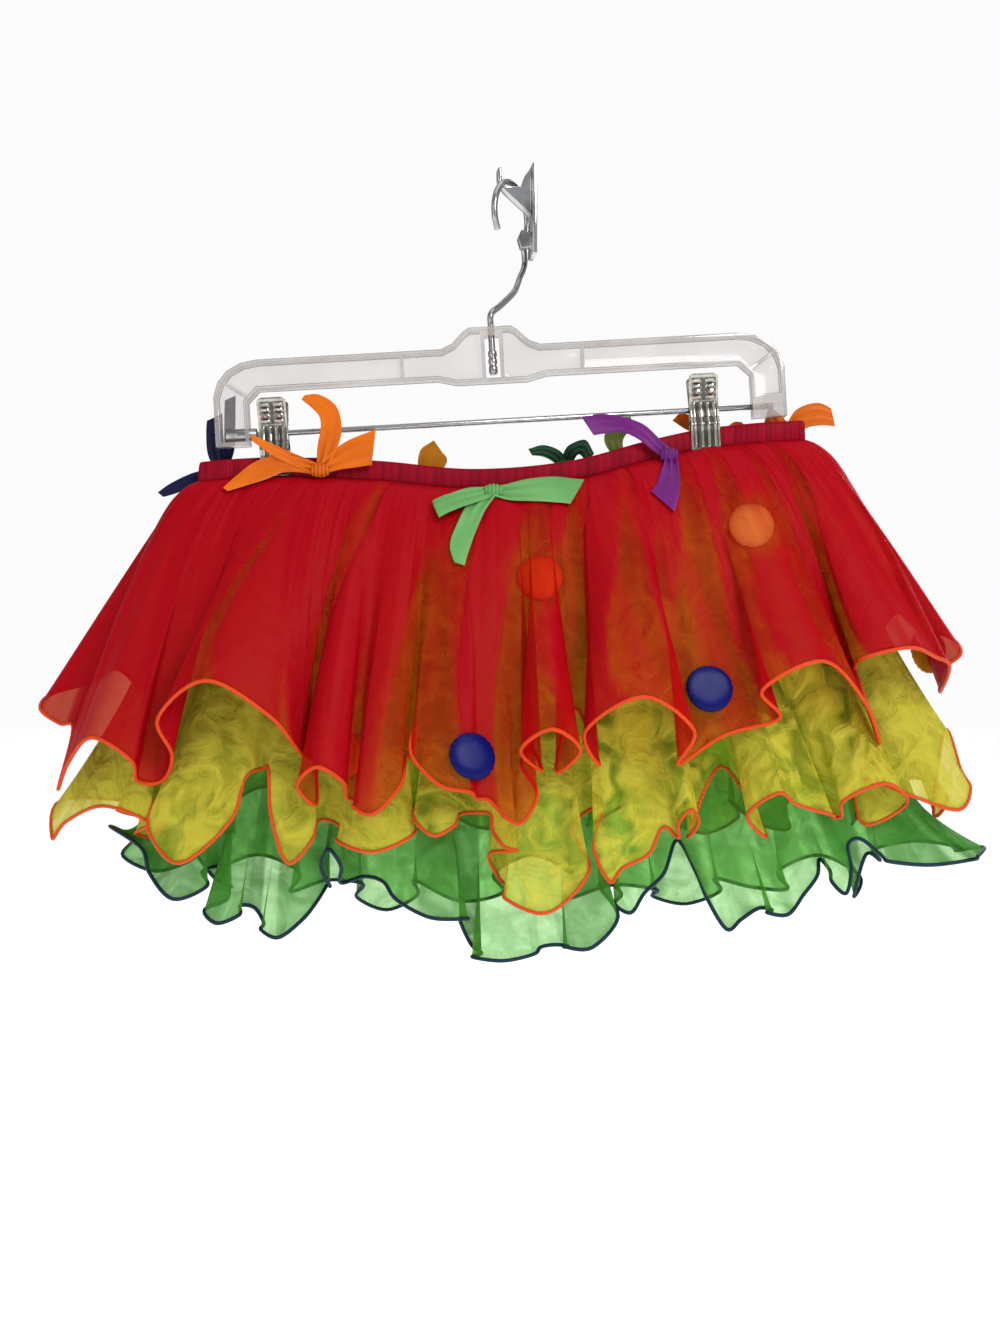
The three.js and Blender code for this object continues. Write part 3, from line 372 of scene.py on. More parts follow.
def pressed_jaw(u, side):
    """Rows of points of one jaw, with its corners rounded, and how dark the painted shade in its recesses is.
    """
    line = eased(JAW, JAW_STEPS)
    gone = np.concatenate([[0], np.cumsum(np.linalg.norm(np.diff(line, axis=0), axis=1))])
    near = np.clip(np.minimum(gone, gone[-1] - gone) / CORNER, 0, 1)
    half = CLIP_WIDE / 2 - CORNER + CORNER * np.sqrt(1 - (1 - near) ** 2)
    across = np.linspace(-1, 1, JAW_ACROSS)
    points = np.empty((len(line), len(across), 3))
    recessed = np.zeros(points.shape[:2])
    low, high = PADS["up"][0] - RECESS["above_pads"], PADS["up"][-1] + RECESS["above_pads"]
    for j, (y, w) in enumerate(line):
        for i, share in enumerate(across):
            s = share * half[j]
            raised = raised_by(s, w)
            points[j, i] = hanger_point(u + s, w, side * (y - raised))
            pressed = low < w < high or RIBS["from"] < w < RIBS["to"]
            if pressed and abs(s) < RIBS["across"][-1] + RECESS["beside_ribs"]:
                recessed[j, i] = RECESS["dark"] * (1 - min(1, raised / RECESS["unshaded_from"]))
    return points, recessed


def thickened(piece, name, thickness):
    """An open sheet gets its thickness, half of it to each side."""
    wall = piece.modifiers.new(name, "SOLIDIFY")
    wall.thickness = thickness * MM
    wall.offset = 0


nickel = bare_metal("clip nickel", (0.44, 0.42, 0.38), (0.24, 0.23, 0.20), 0.18, 0.38, 260)
for which, u in CLIP_AT.items():
    for face_name, side in (("front", 1), ("back", -1)):
        jaw = finished(laid(*pressed_jaw(u, side)), f"clip_{which}_{face_name}_jaw", nickel, "clip_steel",
                       f"clip_{which}_{face_name}")
        thickened(jaw, "sheet steel", CLIP_WALL)

# ---- Waistband ---------------------------------------------------------------------------------------------
# Crimson satin elastic folded over the gathered edges of the layers and stitched through, so it draws up in
# fine upright ribs. The clips pinch it flat, and it opens and sags between them.
BAND = {"half": 188, "middle": -2, "depth": 8, "pinched": 2.6, "height": 15}
BAND_TOP = {"x": [-190, -144, -78, -20, 40, 90, 125, 186], "top": [-11, -8, -11, -16, -11, 2, 10, 15]}
CLIP_X = (-143, 125.7)
PINCH = {"flat": 11, "fade": 16}
WAIST_ROUNDNESS = 0.62
BAND_STEPS = 1440
BAND_CLOSER = 3                 # degrees that the steps close up where the band turns back
BAND_RIBS = {"count": 210, "high": 0.32, "uneven": 0.25, "uneven_lengths": (3, 9), "highest": 0.6}
BAND_STITCHES = {"down": 0.80, "half": 0.035, "deep": 0.35}
BAND_SHADE = {"least": 0.25, "hollow": 0.5, "stitch": 0.4}
SATIN_THICK = 0.35

# The folded elastic's section, from the cut edge inside, over the top, to the cut edge outside: how far down
# the band, as a share of its height, and how far out.
BAND_FOLD = [
    (1, -1.9), (0.8, -1.3), (0.5, -1.1), (0.15, -0.9), (0, -0.35), (-0.02, 0.1), (0.03, 0.65), (0.15, 0.95),
    (0.35, 1.1), (0.55, 1.2), (0.72, 1.3), (0.78, 1.15), (0.83, 1.1), (0.89, 1.35), (0.96, 1.75), (1.0, 2.0),
]


def band_top(x):
    """The waist's height, a smooth run through BAND_TOP."""
    rows, tops = np.array(BAND_TOP["x"], float), np.array(BAND_TOP["top"], float)
    slopes = np.append(tops[1:], tops[-1]) - np.append(tops[:1], tops[:-1])
    slopes /= np.append(rows[1:], rows[-1]) - np.append(rows[:1], rows[:-1])
    i = np.clip(np.searchsorted(rows, x, side="right") - 1, 0, len(rows) - 2)
    run = rows[i + 1] - rows[i]
    t = np.clip((x - rows[i]) / run, 0, 1)
    start = (1 + 2 * t) * (1 - t) ** 2 * tops[i] + t * (1 - t) ** 2 * run * slopes[i]
    return start + t * t * (3 - 2 * t) * tops[i + 1] + t * t * (t - 1) * run * slopes[i + 1]


def band_depth(x):
    """Half the waist's depth, less where a clip pinches it."""
    beyond = np.min([np.maximum(np.abs(x - clip) - PINCH["flat"], 0) for clip in CLIP_X], axis=0)
    return BAND["depth"] + (BAND["pinched"] - BAND["depth"]) * np.exp(-((beyond / PINCH["fade"]) ** 2))


def waist_point(turn, wider=0.0):
    """The waist line, from the left side seam over the front and round the back."""
    t = np.radians(turn)
    x = BAND["middle"] - (BAND["half"] + wider) * np.cos(t)
    y = -np.sign(np.sin(t)) * (band_depth(x) + wider) * np.abs(np.sin(t)) ** WAIST_ROUNDNESS
    return np.stack([x, y, band_top(x)], axis=-1)


def beside_waist(turn, outward, wider=0.0):
    """The waist line moved outward, square to itself."""
    along = waist_point(turn + 0.5, wider) - waist_point(turn - 0.5, wider)
    along[..., 2] = 0
    along /= np.linalg.norm(along, axis=-1, keepdims=True)
    out = np.stack([along[..., 1], -along[..., 0], np.zeros_like(along[..., 0])], axis=-1)
    return waist_point(turn, wider) + out * np.asarray(outward)[..., None]


def waves(at, seed, lengths, count=9):
    """A seeded sum of sines round the skirt, at a turn in degrees, about one unit high."""
    rng = np.random.default_rng(seed)
    total = np.zeros_like(at)
    for _ in range(count):
        whole = max(round(360 / rng.uniform(*lengths)), 1)
        total += rng.uniform(0.5, 1) * np.sin(np.radians(at) * whole + rng.uniform(0, 6.28))
    return total / math.sqrt(count)


def thread_group(name, stretch, detail):
    """Shader group: uneven threads that follow the cloth's own UV, as a mask."""
    group, given, put_out = shader_group(name, {"Scale": 900}, ("Threads",))
    place = shader_node(group, "UVMap")
    along = shader_node(group, "Mapping", {"Vector": place.outputs["UV"], "Scale": (1, stretch, 1)})
    threads = shader_node(group, "TexNoise", {"Vector": along.outputs["Vector"], "Scale": given["Scale"],
                                              "Detail": detail})
    feed(group, put_out, {"Threads": threads.outputs["Fac"]})
    return group


def threads_in(tree, group, scale):
    """One of the thread groups placed in a cloth's material."""
    return shader_node(tree, "Group", {"Scale": scale}, node_tree=group).outputs["Threads"]


SATIN_WARP = thread_group("satin warp", 12, 3)


def woven(name, light, deep, rough, scale, gloss):
    """Satin: long warp threads that catch light, and painted shade in its creases and hollows."""
    material, tree, shader = new_material(name)
    crease_shade = shader_node(tree, "Attribute", attribute_name="lapped")
    warp = threads_in(tree, SATIN_WARP, scale)
    uneven = worked_out(tree, "MULTIPLY_ADD", warp, 0.35, crease_shade.outputs["Fac"], clamp=True)
    bump = shader_node(tree, "Bump", {"Strength": 0.35, "Distance": 0.0002, "Height": warp})
    feed(tree, shader, {
        "Base Color": mixed(tree, uneven, (*light, 1), (*deep, 1)), "Roughness": rough,
        "Specular IOR Level": gloss, "Anisotropic": 0.6, "Normal": bump.outputs["Normal"]})
    return material


crimson = woven("crimson satin elastic", (0.38, 0.0, 0.018), (0.16, 0.0, 0.007), 0.5, 900, 0.08)
band_turn = np.linspace(0, 360, BAND_STEPS + 1)
eased_turn = band_turn - np.sin(np.radians(band_turn * 2)) * BAND_CLOSER
ribs = (BAND_RIBS["high"] * np.abs(np.sin(np.radians(eased_turn) * BAND_RIBS["count"] / 2))
        + BAND_RIBS["uneven"] * waves(eased_turn, 3, BAND_RIBS["uneven_lengths"]))
fold_rows = []
rib_shades = []
for share, out in BAND_FOLD:
    on_top = min(1.0, max(share, 0) * 3)
    in_stitch = 0
    if out > 0:
        in_stitch = math.exp(-((share - BAND_STITCHES["down"]) / BAND_STITCHES["half"]) ** 2)
    row = beside_waist(eased_turn, out + math.copysign(1, out) * ribs * on_top
                       - BAND_STITCHES["deep"] * in_stitch)
    row[:, 2] -= share * BAND["height"]
    fold_rows.append(row + GARMENT_AT)
    rib_shades.append(BAND_SHADE["least"] + BAND_SHADE["hollow"] * (1 - ribs / BAND_RIBS["highest"])
                      + BAND_SHADE["stitch"] * in_stitch)
binding = laid(np.array(fold_rows), np.clip(rib_shades, 0, 1), closed=True)
band = finished(binding, "waistband_binding", crimson, "crimson_elastic", "waistband", sharp=80)
thickened(band, "satin", SATIN_THICK)

# ---- Skirt layers ------------------------------------------------------------------------------------------
# Three tubes of sheer organza, red over yellow over green, each gathered into the waistband and sewn up at
# both sides. A wire rolled into each hem holds it in deep flutes that stand out of the ring and roll under.
GATHERS_WIDER = 1.5
TUCKED_UP = 3.5                 # how far the gathered edge goes up inside the band
TUCKED = {"inward": 0.55, "wider": 0.3}         # shares of its place below the band
FOLD_POWER = 1.3
STEPS_PER_STATION = 7
ROWS = 46
ROW_POWER = 1.15
LEAVES_BAND = 0.03              # how soon below the band a layer stands clear, as a share of its length
FREE_BELOW = 0.045              # and how soon its gathers start to swing
GATHER = {"high": 1.3, "fade": 0.30, "lengths": (2.2, 9)}
DRAPE = {"high": 2.2, "lengths": (9, 26), "power": 1.5}
FOOT = {"turn": 0.33, "out": 0.3}               # where a flute's foot and side stand, from hollow to crest
SIDE = {"turn": 0.66, "out": 0.68}
SHEET_THICKNESS = 0.3
LAP_STEP = 0.0032               # how far one lap stands out over the next, in metres

# Each row is one flute of a hem, in order round the skirt from the left side seam over the front: its turn
# round the hem ring, how far its crest stands out, the drop of its lip, half its widest width, where its
# left foot stands and that foot's drop, the same on the right, the drop of the hollow after it, how far the
# hollow stands out, and how far down the panel the flute begins.
LAYERS = {
    "red": {
        "middle": 0, "half": 262, "deep": 84, "puff": 0.62, "hang": 176, "lean": 0.08, "stack": 1.8,
        "left": (8, 177), "right": (10, 154),
        "front": [
            (27.5, 22, 180, 24, -38, 212, 20, 206, 206, -3, 0.02),
            (51, 24, 146, 34, -30, 190, 46, 187, 195, -14, 0.02),
            (66.5, 18, 195, 14, -6, 218, 14, 213, 215, -2, 0.02),
            (74, 20, 221, 13, -12, 215, 14, 191, 190, -18, 0.02),
            (82, 16, 205, 17, -16, 172, 20, 213, 214, 6, 0.02),
            (92, 14, 226, 9, -12, 221, 0, 195, 186, -16, 0.02),
            (95.5, 26, 173, 17, -4, 198, 4, 198, 162, -18, 0.02),
            (106.6, 24, 155, 31, -20, 195, 24, 194, 178, -4, 0.02),
            (132, 24, 135, 34, -18, 168, 52, 184, 139, -18, 0.02),
            (150, 22, 127, 24, -18, 139, 40, 138, 0, 0, 0.02),
        ],
        "back": [
            (190, 34, 120, 16, -10, 140, 16, 104, 130, -14, 0.02),
            (210, 20, 150, 22, -14, 166, 20, 170, 176, -11, 0.02),
            (232, 24, 146, 30, -26, 186, 26, 190, 196, -12, 0.02),
            (254, 22, 176, 22, -14, 206, 16, 200, 198, -11, 0.02),
            (275, 24, 152, 30, -22, 192, 28, 186, 190, -11, 0.02),
            (298, 22, 178, 20, -12, 204, 16, 206, 200, -12, 0.02),
            (322, 24, 150, 28, -24, 184, 24, 170, 160, -18, 0.02),
            (350, 40, 156, 20, -18, 140, 16, 174, 0, 0, 0.02),
        ],
    },
    "yellow": {
        "middle": 4, "half": 256, "deep": 66, "puff": 0.8, "hang": 236, "lean": 0.05, "stack": 0,
        "left": (26, 222), "right": (15, 178),
        "front": [
            (22, 16, 222, 28, -36, 243, 6, 240, 241, -14, 0.5),
            (43.7, 30, 252, 27, -28, 216, 30, 204, 199, -6, 0.44),
            (60, 16, 252, 12, -16, 199, 14, 229, 230, -6, 0.5),
            (72.1, 16, 245, 22, -20, 235, 18, 226, 221, -10, 0.5),
            (80, 18, 235, 12, -11, 218, 14, 224, 223, 4, 0.5),
            (89, 14, 242, 7, -8, 224, -9, 248, 262, -12, 0.5),
            (94.6, 12, 280, 24, -24, 267, 16, 235, 224, -14, 0.55),
            (102.4, 16, 262, 8, -2, 224, 24, 247, 232, 4, 0.5),
            (113.5, 14, 221, 7, -6, 238, 4, 238, 198, -20, 0.5),
            (125.5, 26, 211, 14, 4, 239, 40, 226, 228, 0, 0.35),
            (146, 22, 207, 24, -20, 227, 4, 234, 209, -18, 0.46),
            (164, 32, 224, 22, -32, 208, 22, 202, 0, 0, 0.4),
        ],
        "back": [
            (196, 22, 210, 24, -16, 232, 18, 236, 232, -10, 0.56),
            (218, 16, 214, 24, -20, 240, 20, 244, 240, -12, 0.6),
            (240, 16, 250, 22, -16, 226, 20, 232, 228, -10, 0.62),
            (263, 16, 216, 26, -20, 244, 20, 240, 244, -14, 0.62),
            (286, 16, 250, 22, -18, 228, 18, 226, 230, -12, 0.62),
            (309, 13, 218, 26, -22, 242, 20, 246, 240, -12, 0.68),
            (332, 14, 236, 24, -18, 214, 16, 226, 0, 0, 0.66),
        ],
    },
    "green": {
        "middle": 19, "half": 256, "deep": 50, "puff": 1.2, "hang": 275, "lean": 0.02, "stack": -1.8,
        "left": (10, 238), "right": (24, 251),
        "front": [
            (34, 18, 277, 17, -24, 248, 8, 263, 262, -14, 0.84),
            (43.5, 20, 290, 12, -2, 278, 10, 281, 283, 2, 0.72),
            (54, 16, 298, 12, -12, 291, 18, 279, 271, -14, 0.72),
            (61.5, 12, 246, 6, -3, 270, 4, 268, 265, -12, 0.74),
            (76, 16, 285, 21, -30, 267, 16, 288, 304, -4, 0.72),
            (85.5, 16, 310, 18, -13, 308, 22, 303, 302, 8, 0.72),
            (97, 18, 302, 16, -14, 302, 6, 269, 268, -10, 0.72),
            (102.3, 10, 283, 9, -4, 274, 22, 262, 243, -14, 0.72),
            (115.2, 18, 292, 9, -14, 260, 18, 282, 281, 10, 0.72),
            (124.5, 18, 284, 12, -8, 282, 24, 264, 255, -8, 0.72),
            (135, 14, 273, 6, -4, 261, 7, 246, 243, -6, 0.72),
            (158, 8, 259, 28, -30, 253, 26, 254, 0, 0, 0.82),
        ],
        "back": [
            (200, 10, 250, 26, -22, 256, 20, 262, 258, -10, 0.82),
            (224, 16, 262, 26, -22, 286, 20, 282, 280, -12, 0.78),
            (247, 18, 296, 22, -18, 276, 20, 284, 280, -10, 0.72),
            (270, 18, 264, 26, -22, 290, 20, 286, 290, -12, 0.72),
            (292, 18, 300, 20, -18, 278, 16, 280, 276, -10, 0.72),
            (314, 18, 262, 26, -20, 284, 18, 280, 272, -12, 0.72),
            (338, 14, 270, 22, -18, 254, 16, 248, 0, 0, 0.78),
        ],
    },
}


def ring_frame(layer, turn):
    """The ring that a layer's hem swings about: its points, and the ways along it and outward."""
    c, s = np.cos(np.radians(turn)), np.sin(np.radians(turn))
    along = np.stack([layer["half"] * s, -layer["deep"] * c, 0 * c], axis=-1)
    outward = np.stack([-layer["deep"] * c, -layer["half"] * s, 0 * c], axis=-1)
    at = np.stack([layer["middle"] - layer["half"] * c, -layer["deep"] * s, 0 * c], axis=-1)
    return (at, along / np.linalg.norm(along, axis=-1, keepdims=True),
            outward / np.linalg.norm(outward, axis=-1, keepdims=True))


def ring_point(layer, turn, along, out, low):
    """A point this far along the ring from a turn, this far out of it and this far below the waist."""
    at, tangent, outward = ring_frame(layer, np.float64(turn))
    point = at + tangent * along + outward * out
    point[2] = -low
    return point


def hem_stations(layer):
    """Turn, place and start of each station: a seam, then foot, side, crest, side, foot, hollow per flute."""
    flutes = layer["front"] + layer["back"]
    last_front = len(layer["front"]) - 1
    (left_out, left_low), (right_out, right_low) = layer["left"], layer["right"]
    stations = [(0.0, ring_point(layer, 0, 0, left_out, left_low), flutes[0][10])]
    before = (left_out, 0.0)
    for i, (turn, out, lip, half, left, low_left, right, low_right, sag, dip, start) in enumerate(flutes):
        following = flutes[i + 1] if i + 1 < len(flutes) else None
        if i == last_front:
            after = (right_out, 180.0)
        elif following is None:
            after = (left_out, 360.0)
        else:
            after = (dip, turn + (following[0] - turn) * half / (half + following[3]))
        made = []
        for end, side, along, low in ((before, -1, left, low_left), (after, 1, right, low_right)):
            foot_out = end[0] + (out - end[0]) * FOOT["out"]
            foot = (end[1] + (turn - end[1]) * FOOT["turn"], ring_point(layer, turn, along, foot_out, low),
                    start)
            side_out = end[0] + (out - end[0]) * SIDE["out"]
            flank_at = ring_point(layer, turn, side * half, side_out, (low + lip) / 2)
            flank = (end[1] + (turn - end[1]) * SIDE["turn"], flank_at, start)
            made.append([foot, flank] if side < 0 else [flank, foot])
        stations += made[0] + [(turn, ring_point(layer, turn, 0, out, lip), start)] + made[1]
        if i == last_front:
            stations.append((180.0, ring_point(layer, 180, 0, right_out, right_low), start))
        elif following is not None:
            hollow = (ring_point(layer, turn, right, dip, sag)
                      + ring_point(layer, following[0], following[4], dip, sag)) / 2
            stations.append((after[1], hollow, (start + following[10]) / 2))
        before = after
    return stations


def layer_rows(layer):
    """The layer's cloth as rows of points from waist to hem all round, with its right seam's column."""
    stations = hem_stations(layer)
    count = len(stations)
    packed = np.array([[turn, *place, start] for turn, place, start in stations])
    before, after = packed[-1:].copy(), packed[:3].copy()
    before[:, 0] -= 360
    after[:, 0] += 360
    run = np.vstack([before, packed, after])
    fine = smooth_between(run, np.linspace(0, count, count * STEPS_PER_STATION + 1))
    turn, hem, start = fine[:, 0], fine[:, 1:4], fine[:, 4]
    down = np.linspace(0, 1, ROWS) ** ROW_POWER
    waist = beside_waist(turn, layer["stack"] * TUCKED["inward"], GATHERS_WIDER * TUCKED["wider"])
    waist[:, 2] -= BAND["height"] - TUCKED_UP
    spread = beside_waist(turn, layer["stack"], GATHERS_WIDER + layer["stack"] / 2) - waist
    ring, _, outward = ring_frame(layer, turn)
    ring[:, 2] = -(layer["hang"] - layer["lean"] * ring[:, 0])
    v = down[:, None]
    fold = np.clip((v - start) / (1 - start), 0, 1) ** FOLD_POWER
    puff = v ** layer["puff"]
    rows = np.empty((ROWS, len(turn), 3))
    for axis in (0, 1):
        out_of_band = spread[:, axis] * (1 - np.exp(-v / LEAVES_BAND)) * (1 - v)
        rows[..., axis] = (waist[:, axis] + (ring - waist)[:, axis] * puff + (hem - ring)[:, axis] * fold
                           + out_of_band)
    rows[..., 2] = waist[:, 2] + (ring - waist)[:, 2] * v + (hem - ring)[:, 2] * fold
    free = 1 - np.exp(-(v / FREE_BELOW) ** 2)
    gathers = GATHER["high"] * waves(turn, 7 + len(stations), GATHER["lengths"])
    gathers = gathers * np.exp(-v / GATHER["fade"]) * free
    drape = DRAPE["high"] * waves(turn, 11 + len(stations), DRAPE["lengths"])
    drape = drape * np.sin(np.pi * v) ** DRAPE["power"]
    rows += outward * (gathers + drape)[..., None]
    right_seam = [i for i, station in enumerate(stations) if station[0] == 180.0][0]
    return rows, turn, v, right_seam * STEPS_PER_STATION


ORGANZA_GRAIN = thread_group("organza grain", 0.12, 2)


def pattern_group(name, mask, texture, sockets, from_uv=False):
    """Shader group: one texture of the cloth, at a scale that is put in, as a mask."""
    group, given, put_out = shader_group(name, {"Scale": 50}, (mask,))
    kind, output = ("UVMap", "UV") if from_uv else ("TexCoord", "Object")
    place = shader_node(group, kind).outputs[output]
    pattern = shader_node(group, texture, {"Vector": place, "Scale": given["Scale"], **sockets})
    feed(group, put_out, {mask: pattern.outputs["Fac"]})
    return group


ORGANZA_CRINKLE = pattern_group("organza crinkle", "Crinkle", "TexNoise", {"Detail": 4, "Distortion": 1.2})
WOUND_THREAD = pattern_group("wound thread", "Thread", "TexWave", {"Detail": 2, "Distortion": 1.5},
                             from_uv=True)


def organza(name, light, deep, through, thin, dense, crumpled):
    """Sheer cloth: threads that hide what is behind them, in air that they tint. It hides more where it is
    gathered, lapped, pleated or seen edge-on, and its colour deepens with the same shades: partly the doubled
    cloth, partly painted shade of its folds and pleats."""
    material, tree, shader = new_material(name)
    laps = shader_node(tree, "Attribute", attribute_name="lapped").outputs["Fac"]
    opacity = shader_node(tree, "MapRange", {"Value": laps, "To Min": thin, "To Max": dense})
    crinkle = shader_node(tree, "Group", {"Scale": 50}, node_tree=ORGANZA_CRINKLE).outputs["Crinkle"]
    crumple = shader_node(tree, "MapRange", {"Value": crinkle, "From Min": 0.40, "From Max": 0.62,
                                             "To Min": -crumpled / 2, "To Max": crumpled})
    creases = worked_out(tree, "ADD", opacity.outputs["Result"], crumple.outputs["Result"])
    uneven = worked_out(tree, "MULTIPLY_ADD", threads_in(tree, ORGANZA_GRAIN, 900), 0.10, creases)
    facing = shader_node(tree, "LayerWeight", {"Blend": 0.25})
    hides = worked_out(tree, "MULTIPLY_ADD", facing.outputs["Facing"], 0.35, uneven, clamp=True)
    deep_creases = 0.002 + 0.025 * crumpled
    stepped = worked_out(tree, "MULTIPLY_ADD", laps, LAP_STEP / deep_creases, crinkle)
    creased = shader_node(tree, "Bump", {"Strength": 0.7, "Distance": deep_creases, "Height": stepped})
    feed(tree, shader, {"Base Color": mixed(tree, laps, (*light, 1), (*deep, 1)), "Roughness": 0.5,
                        "Specular IOR Level": 0.06, "Normal": creased.outputs["Normal"]})
    between = shader_node(tree, "BsdfTransparent", {"Color": (*through, 1)})
    sheer = shader_node(tree, "MixShader", {"Fac": hides, 1: between.outputs["BSDF"],
                                            2: shader.outputs["BSDF"]})
    feed(tree, tree.nodes["Material Output"], {"Surface": sheer.outputs["Shader"]})
    return material


def overlock(name, colour):
    """Satin thread wound closely round the hem's wire."""
    material, tree, shader = new_material(name)
    thread = shader_node(tree, "Group", {"Scale": 330}, node_tree=WOUND_THREAD).outputs["Thread"]
    between = (*[0.6 * part for part in colour], 1)
    bump = shader_node(tree, "Bump", {"Strength": 0.5, "Distance": 0.0003, "Height": thread})
    feed(tree, shader, {"Base Color": mixed(tree, thread, between, (*colour, 1)), "Roughness": 0.42,
                        "Specular IOR Level": 0.2, "Normal": bump.outputs["Normal"]})
    return material


# Laps are the stretches where a layer is folded over itself: the shortest and longest of them in degrees, how
# much of the cloth they take at the waist and how much of that is gone at the hem.
CLOTH_LOOKS = {
    "red": {"light": (0.62, 0.004, 0.010), "deep": (0.33, 0.0, 0.006), "through": (0.95, 0.77, 0.56),
            "thin": 0.02, "dense": 0.88, "crumpled": 0.0, "laps": (5, 26, 0.2, 0.65),
            "cord": (0.78, 0.060, 0.006), "cord_radius": 1.15},
    "yellow": {"light": (0.76, 0.67, 0.08), "deep": (0.52, 0.46, 0.04), "through": (0.93, 0.92, 0.60),
               "thin": 0.08, "dense": 0.54, "crumpled": 0.24, "laps": (5, 22, 0.2, 0.4),
               "cord": (0.74, 0.085, 0.008), "cord_radius": 1.1},
    "green": {"light": (0.13, 0.36, 0.07), "deep": (0.05, 0.24, 0.03), "through": (0.72, 0.90, 0.66),
              "thin": 0.06, "dense": 0.50, "crumpled": 0.14, "laps": (5, 22, 0.2, 0.5),
              "cord": (0.004, 0.030, 0.055), "cord_radius": 1.2},
}
PLEATS = {"lengths": (1.2, 5), "count": 14, "strong": 0.7, "fade": 0.45}
INNER_FOLDS = {"lengths": (4, 15), "drift": 4, "fewer": 0.35, "sharp": 5}
LAPS_SHARP = 4.5
HEM_SIDES = 8
LAPS_DRIFT = {"turns": 5, "bends": 2.2}         # degrees that the laps swing to a side on their way down
LEFT_HAS_MORE = 0.22
LAPPED_FRONT = {"more": 0.5, "turn": 40, "half": 24}
LAPPED_SEAMS = {"more": 1.8, "half": 0.5}
SHADE = {"pleats": 0.26, "laps": 0.56, "inner": 0.16, "lap_edges": 0.14, "gathers": 0.5}
LAP_EDGE_HALF = 0.05
GATHERS_TO = 0.08
DOT_CLEARING = {"bare": 14, "fade": 12}
SEEN_THROUGH = {"red": ("dot_cream", "dot_orange_centre")}     # dots that lie between one layer and the next


def clear_of_dots(layer_name, rows):
    """1 on a layer's cloth, and 0 where a dot behind its front has to show through it."""
    share = np.ones(rows.shape[:2])
    for node in SEEN_THROUGH.get(layer_name, ()):
        dot_at = np.mean([vert.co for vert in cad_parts[node].data.vertices], axis=0) / MM - GARMENT_AT
        away = np.hypot(rows[..., 0] - dot_at[0], rows[..., 2] - dot_at[2])
        share *= np.clip((away - DOT_CLEARING["bare"]) / DOT_CLEARING["fade"], 0, 1)
    return np.where(rows[..., 1] > 0, 1, share)


def cloth_shades(layer_name, seed, rows, turn, down):
    """How deep and dense the cloth is, from its fine pleats, laps and inner folds and the waist's gathers."""
    short, long, at_waist, gone = CLOTH_LOOKS[layer_name]["laps"]
    pleats = waves(turn, 31 + seed, PLEATS["lengths"], PLEATS["count"]) * np.exp(-down / PLEATS["fade"])
    lapped = waves(turn + LAPS_DRIFT["turns"] * np.sin(down * LAPS_DRIFT["bends"]), 47 + seed, (short, long))
    lapped += at_waist - gone * down
    inner = waves(turn - INNER_FOLDS["drift"] * down, 83 + seed, INNER_FOLDS["lengths"])
    lapped += LEFT_HAS_MORE * np.cos(np.radians(turn))
    lapped += LAPPED_FRONT["more"] * np.exp(-(((turn - LAPPED_FRONT["turn"]) / LAPPED_FRONT["half"]) ** 2))
    lapped += LAPPED_SEAMS["more"] * np.exp(-((np.sin(np.radians(turn)) / LAPPED_SEAMS["half"]) ** 2))
    bare = clear_of_dots(layer_name, rows)
    laps = np.clip(0.5 + LAPS_SHARP * lapped, 0, 1) * bare
    inner = np.clip(0.5 + INNER_FOLDS["sharp"] * (inner - INNER_FOLDS["fewer"]), 0, 1) * bare
    # Laps, inner folds and gathers deepen the colour as doubled cloth; the light and dark streaks of the fine
    # pleats are partly painted shade.
    shades = SHADE["pleats"] * (0.5 + PLEATS["strong"] * pleats) + SHADE["laps"] * laps
    shades += SHADE["inner"] * inner + SHADE["lap_edges"] * np.exp(-((lapped / LAP_EDGE_HALF) ** 2))
    return np.clip(shades + SHADE["gathers"] * np.exp(-down / GATHERS_TO), 0, 1)


for seed, (layer_name, layer) in enumerate(LAYERS.items()):
    looks = CLOTH_LOOKS[layer_name]
    sheer = organza(f"{layer_name} organza", looks["light"], looks["deep"], looks["through"], looks["thin"],
                    looks["dense"], looks["crumpled"])
    thread = overlock(f"{layer_name} overlock", looks["cord"])
    rows, turn, down, seam = layer_rows(layer)
    shades = cloth_shades(layer_name, seed, rows, turn, down)
    for side, columns in (("front", slice(0, seam + 1)), ("back", slice(seam, None))):
        points = rows[:, columns] + GARMENT_AT
        panel = finished(laid(points, shades[:, columns]), f"{layer_name}_{side}_panel", sheer,
                         f"{layer_name}_organza", f"{layer_name}_{side}", sharp=180)
        thickened(panel, "organza", SHEET_THICKNESS)
        cord = finished(laid(tube_rows(points[-1], looks["cord_radius"], HEM_SIDES), closed=True),
                        f"{layer_name}_{side}_hem", thread, f"{layer_name}_organza", sharp=180)

# ---- Bows --------------------------------------------------------------------------------------------------
# Double-face satin ribbon, tied by hand and caught to the waistband: every bow has a wrapped knot and two or
# three loops or tails, creased where the knot gathers them and cut off square or on the slant.
RIBBON_THICK = 0.4
KNOT = {"across": 12, "tall": 9, "deep": 8, "lift": 5}
BESIDE = [(0, 0), (0, -5), (-3, -2), (3, -2)]      # a ribbon clears what is under it as far as this
RIBBON_STEPS = 9
RIBBON_ACROSS = 13
RIBBON_SEED = 50
WRAP_LONG = 2 * KNOT["tall"] + 6
KNOT_CREASES = {"high": 1.25, "turns": 1.2, "fade": 13}
SLACK = {"high": 0.55, "length": 9}
SLANT = {"share": 0.22, "over": 6}
WRAP = {"wrinkles": 2.5, "high": 0.07}
RAY_FROM = 300                  # well clear of the skirt, in front or behind
BAND_STANDS_OUT = 1.2
CLOSES_WITHIN = 5               # a strip that ends this near its start is a loop that turns back
RIBBON_SHADE = {"least": 0.25, "crease_shade": 0.5, "slack": 0.2}

